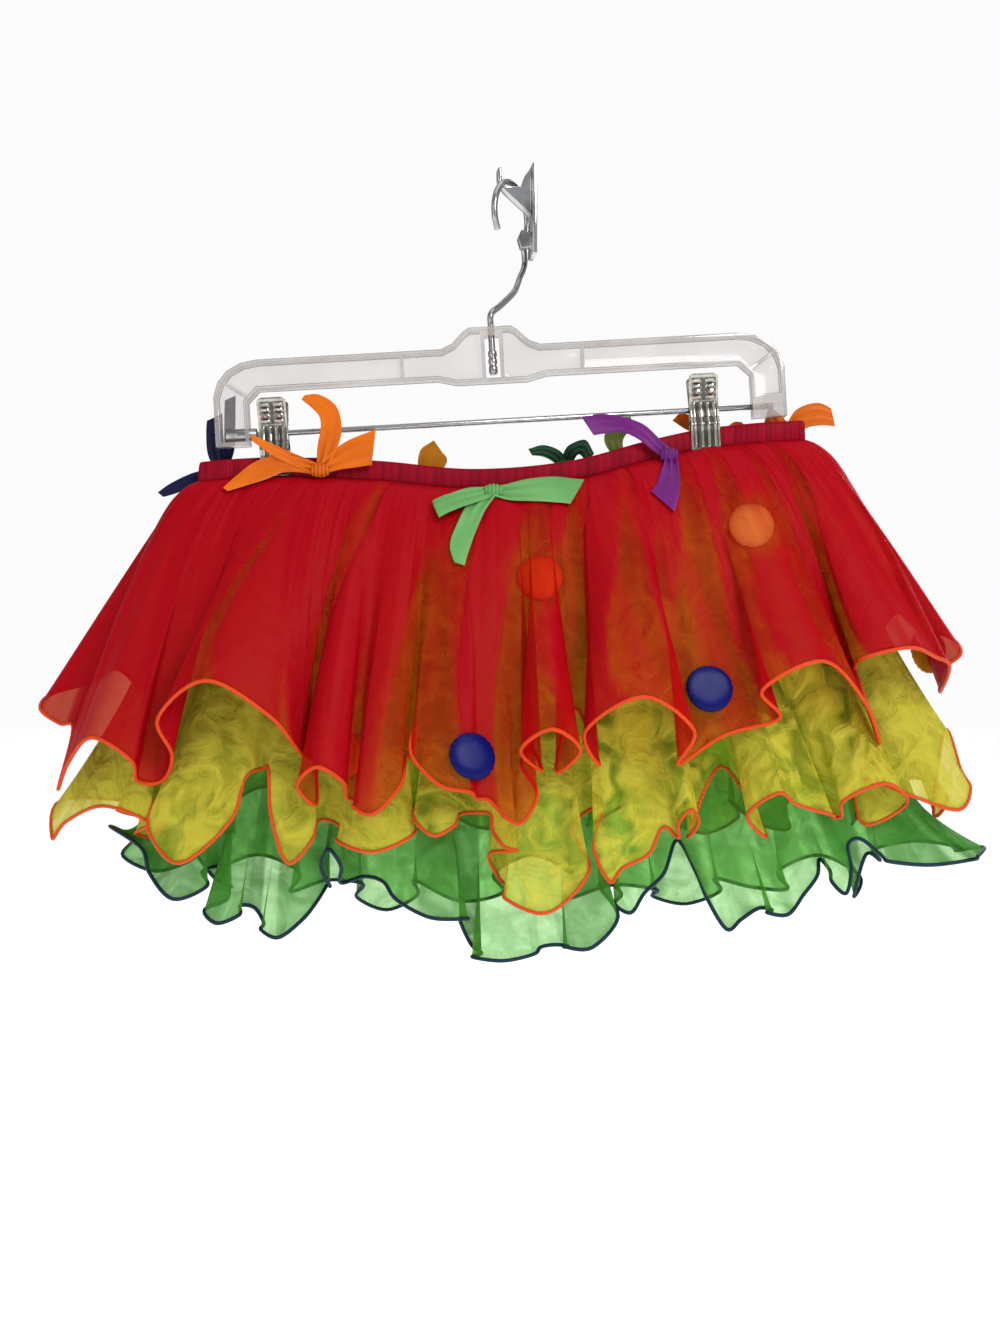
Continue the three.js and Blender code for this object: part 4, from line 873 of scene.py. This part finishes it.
# A strip is rows of x and z from the middle of the waist, how far it stands off what is under it, and its
# width there. Face -1 is a bow on the front of the band and 1 one behind it.
BOWS = [
    {"name": "orange_left", "face": -1, "knot": (-114, -17), "finish": "orange", "strips": [
        [(-114, -17, 5, 7), (-128, -11, 5, 7), (-143, -4, 5, 6), (-157, 4, 6, 3)],
        [(-114, -17, 5, 6), (-124, -14, 5, 8), (-138, -12, 4, 11), (-152, -17, 4, 13), (-163, -23, 4, 9),
         (-172, -29, 4, 3)],
        [(-113, -15, 5, 7), (-110, -4, 6, 12), (-107, 8, 7, 13), (-109, 19, 6, 12), (-117, 26, 4, 9),
         (-125, 29, 3, 3)],
        [(-113, -16, 5, 7), (-104, -11, 6, 12), (-94, -7, 6, 17), (-81, -3, 5, 20)]]},
    {"name": "green_centre", "face": -1, "knot": (-7, -31), "finish": "light_green", "strips": [
        [(-7, -31, 5, 6), (2, -31, 4.5, 11), (15, -30, 3.5, 15), (30, -29.5, 3, 18), (44, -31, 3, 17)],
        [(-8, -31, 5, 6), (-20, -33, 3, 10), (-33, -38, 2.5, 11), (-42, -43, 5, 11), (-34, -39, 8.5, 11),
         (-20, -34, 8, 10), (-8, -31, 5.5, 6)],
        [(-8, -32, 5, 6), (-17, -41, 4, 11), (-23, -54, 3, 12), (-27, -66, 3, 12), (-27, -77, 3, 6)]]},
    {"name": "purple", "face": -1, "knot": (101, -8), "finish": "purple", "strips": [
        [(101, -8, 5, 7), (93, -1, 5, 8), (83, 7, 6, 9), (72, 11, 6, 9), (60, 11.5, 6, 12), (51, 10, 6, 12)],
        [(102, -9, 5, 7), (101, -18, 4, 11), (99, -28, 3, 14), (95, -38, 3, 18)]]},
    {"name": "orange_right", "face": 1, "knot": (180, 10), "finish": "orange", "strips": [
        [(180, 10, 5, 7), (172, 17, 5, 10), (166, 22, 5, 9)],
        [(180, 10, 5, 7), (188, 19, 5, 13), (198, 22, 5, 14), (208, 20, 5, 10)]]},
    {"name": "navy", "face": 1, "knot": (-180, -14), "finish": "navy", "strips": [
        [(-180, -14, 5, 7), (-183, -2, 5, 11), (-184, 10, 5, 11), (-184, 20, 5, 10)],
        [(-179, -13, 5, 6), (-175, 0, 6, 7), (-174.5, 15, 6, 7), (-174, 32, 6, 7)],
        [(-182, -15, 5, 6), (-196, -19, 4, 8), (-210, -25, 4, 7), (-218, -29, 4, 4)]]},
    {"name": "mustard", "face": 1, "knot": (-46, -20), "finish": "mustard", "strips": [
        [(-46, -19, 5, 7), (-47, -12, 5, 16), (-45, -4, 5, 18), (-42, 1, 5, 10)],
        [(-46, -21, 5, 7), (-50, -34, 4, 13), (-52, -48, 4, 15)]]},
    {"name": "dark_green", "face": 1, "knot": (38, -11), "finish": "dark_green", "strips": [
        [(38, -10, 5, 7), (32, -4, 6, 8), (24, -1, 6, 7), (16, -2, 5, 4)],
        [(38, -10, 5, 7), (43, -1, 5, 8), (50, 1, 8, 8), (54, -6, 8, 8)],
        [(38, -12, 5, 7), (35, -26, 4, 13), (36, -40, 4, 15)]]},
    {"name": "olive", "face": 1, "knot": (72, -5), "finish": "olive", "strips": [
        [(72, -4, 5, 7), (69, 6, 6, 12), (73, 15, 6, 13), (80, 20, 6, 8)],
        [(72, -6, 5, 7), (75, -20, 4, 13), (73, -34, 4, 15)]]},
    {"name": "orange_back", "face": 1, "knot": (138, 2), "finish": "orange", "strips": [
        [(138, 3, 5, 7), (128, 12, 12, 9), (116, 17, 10, 9), (108, 20, 7, 6)],
        [(138, 3, 5, 7), (146, 12, 6, 9), (152, 14, 5, 6)],
        [(138, 1, 5, 7), (142, -14, 4, 13), (140, -28, 4, 15)]]},
]
RIBBON_LOOKS = {
    "orange": ((0.84, 0.20, 0.004), (0.36, 0.045, 0.001)),
    "light_green": ((0.22, 0.50, 0.17), (0.05, 0.20, 0.045)),
    "purple": ((0.20, 0.02, 0.22), (0.07, 0.005, 0.08)),
    "navy": ((0.008, 0.010, 0.07), (0.002, 0.003, 0.02)),
    "mustard": ((0.60, 0.23, 0.003), (0.32, 0.10, 0.001)),
    "dark_green": ((0.014, 0.07, 0.028), (0.004, 0.025, 0.010)),
    "olive": ((0.17, 0.20, 0.035), (0.07, 0.09, 0.014)),
}


def solids_under(names):
    """One ray-cast tree over the solid forms that a trimming is laid on."""
    places, faces = [], []
    for name in names:
        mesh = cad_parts[name].data
        first = len(places)
        places += [vert.co.copy() for vert in mesh.vertices]
        faces += [[first + v for v in face.vertices] for face in mesh.polygons]
    return BVHTree.FromPolygons(places, faces)


LAYER_NODES = [f"{layer}_{side}" for layer in LAYERS for side in ("front", "back")]
CLIP_NODES = [f"clip_{which}_{side}" for which in CLIP_AT for side in ("front", "back")]
ribbon_bed = solids_under(["waistband"] + LAYER_NODES + CLIP_NODES)


def off_cloth(x, z, lift, side):
    """A point off the cloth, band and clips, at this lift from whatever stands out furthest there."""
    reached = [float(band_depth(np.float64(x))) + BAND_STANDS_OUT]
    for dx, dz in BESIDE:
        start = Vector((np.array([x + dx, side * RAY_FROM, z + dz]) + GARMENT_AT) * MM)
        hit = ribbon_bed.ray_cast(start, Vector((0, -side, 0)))[0]
        if hit:
            reached.append(side * (hit.y / MM - GARMENT_AT[1]))
    return np.array([x, side * (max(reached) + lift), z])


def ribbon_strip(strip, side, seed):
    """Rows of points of one loop or tail, gathered to creases at the knot and cut on a slant."""
    first, last = strip[0], strip[-1]
    turns_back = math.hypot(first[0] - last[0], first[1] - last[1]) < CLOSES_WITHIN
    furthest = strip[(len(strip) - 1) // 2] if turns_back else last
    reach = np.array([furthest[0] - first[0], furthest[1] - first[1]], float)
    reach /= np.linalg.norm(reach)
    edges = []
    for k, (x, z, lift, width) in enumerate(strip):
        before, after = strip[max(k - 1, 0)], strip[min(k + 1, len(strip) - 1)]
        line = np.array([after[0] - before[0], after[1] - before[1]], float)
        line = reach if turns_back else line / np.linalg.norm(line)
        edges.append([off_cloth(x - line[1] * s * width / 2, z + line[0] * s * width / 2, lift, side)
                      for s in (-1, 0, 1)])
    lines = eased(np.array(edges), RIBBON_STEPS)
    across = np.linspace(-1, 1, RIBBON_ACROSS)
    points = (lines[:, None, 0] * (across * (across - 1) / 2)[:, None]
              + lines[:, None, 1] * (1 - across ** 2)[:, None]
              + lines[:, None, 2] * (across * (across + 1) / 2)[:, None])
    forward = np.gradient(points, axis=0)
    sideways = np.gradient(points, axis=1)
    normal = np.cross(forward, sideways)
    normal /= np.linalg.norm(normal, axis=2, keepdims=True)
    normal *= np.sign(normal[..., 1:2].sum() * side) or 1
    gone = np.linalg.norm(points[:, RIBBON_ACROSS // 2] - points[0, RIBBON_ACROSS // 2], axis=1)
    near = np.exp(-gone / KNOT_CREASES["fade"])
    rng = np.random.default_rng(seed)
    creases = np.cos(across * 2 * math.pi * KNOT_CREASES["turns"] + rng.uniform(-0.7, 0.7))
    slack = np.sin(gone[:, None] / SLACK["length"] + across * rng.uniform(0.6, 1.4) + rng.uniform(0, 6))
    near = near[:, None]
    raised = KNOT_CREASES["high"] * near * creases + SLACK["high"] * (1 - near) * slack
    points = points + normal * raised[..., None]
    if not turns_back:
        end = np.clip(1 - (gone[-1] - gone) / SLANT["over"], 0, 1) ** 2
        slant = rng.choice([-1, 1]) * SLANT["share"] * strip[-1][3]
        onward = (lines[-1, 1] - lines[-2, 1]) / np.linalg.norm(lines[-1, 1] - lines[-2, 1])
        points += onward * (end[:, None] * across * slant)[..., None]
    shades = (RIBBON_SHADE["least"] + RIBBON_SHADE["crease_shade"] * near * (0.5 - 0.5 * creases)
              + RIBBON_SHADE["slack"] * (0.5 - 0.5 * slack) * (1 - near))
    return points, np.clip(shades, 0, 1)


def knot_rows(centre, side):
    """A ribbon wrapped once round the middle, its creases running round it."""
    share = np.linspace(-1, 1, 21)
    round_it = np.linspace(0, 2 * np.pi, 41)
    wrinkles = np.cos(share * 2 * math.pi * WRAP["wrinkles"])
    swell = np.sqrt(1 - share ** 2) ** 0.6 * (1 + WRAP["high"] * wrinkles)
    rows = np.empty((len(round_it), len(share), 3))
    for j, angle in enumerate(round_it):
        rows[j, :, 0] = centre[0] + KNOT["across"] / 2 * share
        rows[j, :, 1] = centre[1] + side * KNOT["deep"] / 2 * swell * math.cos(angle)
        rows[j, :, 2] = centre[2] + KNOT["tall"] / 2 * swell * math.sin(angle)
    return rows, 0.3 + 0.25 * np.broadcast_to(1 - wrinkles, rows.shape[:2])


def joined(parts):
    """The strips and the wrapped knot of one bow as one mesh."""
    whole = bmesh.new()
    for part in parts:
        held = bpy.data.meshes.new("ribbon part")
        part.to_mesh(held)
        part.free()
        whole.from_mesh(held)
        bpy.data.meshes.remove(held)
    return whole


ribbon_satins = {}
for finish, (light, deep) in RIBBON_LOOKS.items():
    ribbon_satins[finish] = woven(f"{finish} ribbon satin", light, deep, 0.38, 260, 0.16)
for number, bow in enumerate(BOWS):
    parts = []
    ribbon_long = WRAP_LONG
    ribbon_area = WRAP_LONG * KNOT["across"]
    for k, strip in enumerate(bow["strips"]):
        points, shades = ribbon_strip(strip, bow["face"], RIBBON_SEED + 7 * number + k)
        ribbon = laid(points + GARMENT_AT, shades)
        bmesh.ops.solidify(ribbon, geom=ribbon.faces[:], thickness=RIBBON_THICK * MM)
        bmesh.ops.recalc_face_normals(ribbon, faces=ribbon.faces)
        parts.append(ribbon)
        strip_long = np.linalg.norm(np.diff(points[:, RIBBON_ACROSS // 2], axis=0), axis=1).sum()
        ribbon_long += strip_long
        ribbon_area += strip_long * np.linalg.norm(np.diff(points, axis=1), axis=2).sum(axis=1).mean()
    wrapped, shades = knot_rows(off_cloth(*bow["knot"], KNOT["lift"], bow["face"]), bow["face"])
    parts.append(laid(wrapped + GARMENT_AT, shades, closed=True))
    tied = finished(joined(parts), f"{bow['name']}_ribbon", ribbon_satins[bow["finish"]],
                    f"{bow['finish']}_satin", f"bow_{bow['name']}", sharp=70)

# ---- Dots --------------------------------------------------------------------------------------------------
# Satin discs lightly stuffed and sewn down round the edge, scattered over the layers. The edge puckers at
# each stitch, and each disc bends with the cloth it is on.
DOT = {"across": 28, "clear": 1.0, "edge": 1.4, "crown": 4.4}
STITCHED_EDGE = {"stitches": 22, "from": 0.7, "pucker": 0.35, "scallop": 0.012}
DOTS = {
    "blue_right": "blue", "blue_left": "blue", "orange_centre": "orange_dot", "orange_left": "orange_dot",
    "cream": "cream", "gold_right": "gold", "back_blue": "blue", "back_gold": "gold",
    "back_orange": "orange_dot", "back_navy": "blue",
}
DOT_LOOKS = {
    "blue": ((0.003, 0.006, 0.13), (0.001, 0.002, 0.05)),
    "orange_dot": ((1.0, 0.20, 0.02), (0.70, 0.08, 0.008)),
    "cream": ((1.0, 0.88, 0.58), (0.80, 0.60, 0.34)),
    "gold": ((0.80, 0.36, 0.015), (0.52, 0.19, 0.006)),
}
DOT_TOP_RINGS = (0, 0.16, 0.32, 0.48, 0.62, 0.74, 0.84, 0.91, 0.96, 0.99, 1.0)
DOT_UNDER_RINGS = (0.98, 0.6, 0)
DOT_SIDES = 66


def bend_terms(a, b):
    """The terms of a surface of the second degree."""
    return np.stack([np.ones_like(a), a, b, a * a, a * b, b * b], axis=1)


def dot_bed(node):
    """The middle, outward normal and bend of the cloth under a dot, read off the dot's solid."""
    places = np.array([vert.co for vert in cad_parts[node].data.vertices]) / MM
    places = np.unique(places.round(4), axis=0)
    middle = places.mean(axis=0)
    _, _, axes = np.linalg.svd(places - middle)
    out = axes[2]
    if out[1] * (middle[1] - GARMENT_AT[1]) < 0:
        out = -out
    right = np.cross([0, 0, 1.0], out)
    right /= np.linalg.norm(right)
    up = np.cross(out, right)
    a, b, h = ((places - middle) @ direction for direction in (right, up, out))
    under = h < np.median(h) + 0.5
    bend, *_ = np.linalg.lstsq(bend_terms(a, b)[under], h[under], rcond=None)
    return middle, right, up, out, bend


dot_satins = {}
for finish, (light, deep) in DOT_LOOKS.items():
    dot_satins[finish] = woven(f"{finish} padded satin", light, deep, 0.34, 200, 0.12)
dot_rings = [(share, True) for share in DOT_TOP_RINGS] + [(share, False) for share in DOT_UNDER_RINGS]
angles = np.linspace(0, 2 * np.pi, DOT_SIDES + 1)
stitched = np.cos(angles * STITCHED_EDGE["stitches"])
for name, finish in DOTS.items():
    middle, right, up, out, bend = dot_bed(f"dot_{name}")
    rows = np.empty((len(dot_rings), len(angles), 3))
    shades = np.zeros((len(dot_rings), len(angles)))
    for j, (share, top) in enumerate(dot_rings):
        near_rim = max(0, (share - STITCHED_EDGE["from"]) / (1 - STITCHED_EDGE["from"])) ** 2
        radius = share * DOT["across"] / 2 * (1 + STITCHED_EDGE["scallop"] * stitched * near_rim)
        a, b = radius * np.cos(angles), radius * np.sin(angles)
        dome = DOT["edge"] + (DOT["crown"] - DOT["edge"]) * max(0, 1 - share ** 4) ** 0.7
        stuffed = dome * (share < 1 or 0.5) + STITCHED_EDGE["pucker"] * stitched * near_rim if top else 0
        height = bend_terms(a, b) @ bend + DOT["clear"] + stuffed
        rows[j] = middle + np.outer(a, right) + np.outer(b, up) + np.outer(height, out)
        shades[j] = np.clip(0.15 + near_rim * (0.45 - 0.3 * stitched), 0, 1)
    dot = finished(laid(rows, shades, closed=True), f"{name}_dot", dot_satins[finish], f"{finish}_satin",
                   f"dot_{name}", sharp=75)

# ---- Camera, floor and light -------------------------------------------------------------------------------
# A plain pale floor and sky round the hanging skirt. The main light comes from the upper right, with a wide
# soft one at the left, one from above and one from behind that shows through the cloth.
EYE = {"at": (-0.0224, -1.024, -0.2909), "lens": 43.2, "sensor": 36}
FLOOR = {"low": -0.66, "radius": 9, "grey": 0.93, "rough": 0.9, "glow": 0.60}
SKY = {"lights": 0.42, "seen": 0.97}
LIT_AT = Vector((-0.02, -0.02, -0.28))
LIGHTS = {
    "key": {"at": (0.8, -1.4, 0.7), "size": 0.7, "watts": 21},
    "fill": {"at": (-1.3, -1.1, 0.0), "size": 1.4, "watts": 5},
    "top": {"at": (0.1, -0.1, 1.1), "size": 1.2, "watts": 4},
    "behind": {"at": (0.9, 1.4, 0.6), "size": 1.0, "watts": 8},
}
scene = bpy.context.scene


def staged(name, data, at=(0, 0, 0)):
    """An object of the studio, which isn't part of the skirt."""
    thing = bpy.data.objects.new(name, data)
    thing.location = at
    scene.collection.objects.link(thing)
    return thing


eye = bpy.data.cameras.new("view")
eye.sensor_fit = "VERTICAL"
eye.sensor_height = EYE["sensor"]
eye.lens = EYE["lens"]
scene.camera = staged("view", eye, EYE["at"])
scene.camera.rotation_euler = (math.radians(90), 0, 0)

plain, plain_tree, pale = new_material("plain pale paper")
feed(plain_tree, pale, {"Base Color": (*[FLOOR["grey"]] * 3, 1), "Roughness": FLOOR["rough"],
                        "Emission Color": (1, 1, 1, 1), "Emission Strength": FLOOR["glow"]})
ground = bmesh.new()
bmesh.ops.create_circle(ground, cap_ends=True, segments=64, radius=FLOOR["radius"])
bmesh.ops.translate(ground, verts=ground.verts, vec=(0, 0, FLOOR["low"]))
paper = bpy.data.meshes.new("floor")
ground.to_mesh(paper)
ground.free()
paper.materials.append(plain)
staged("floor", paper)

scene.world = bpy.data.worlds.new("studio")
scene.world.use_nodes = True
sky = scene.world.node_tree
seen = shader_node(sky, "LightPath")
strength = shader_node(sky, "MapRange", {"Value": seen.outputs["Is Camera Ray"], "To Min": SKY["lights"],
                                         "To Max": SKY["seen"]})
feed(sky, sky.nodes["Background"], {"Color": (1, 1, 1, 1), "Strength": strength.outputs["Result"]})

for name, light in LIGHTS.items():
    lamp = bpy.data.lights.new(name, "AREA")
    lamp.energy = light["watts"]
    lamp.size = light["size"]
    placed = staged(name, lamp, light["at"])
    placed.rotation_euler = (LIT_AT - placed.location).to_track_quat("-Z", "Y").to_euler()
scene.cycles.transparent_max_bounces = 32
scene.cycles.max_bounces = 6
scene.cycles.diffuse_bounces = 2
scene.view_settings.view_transform = "Standard"
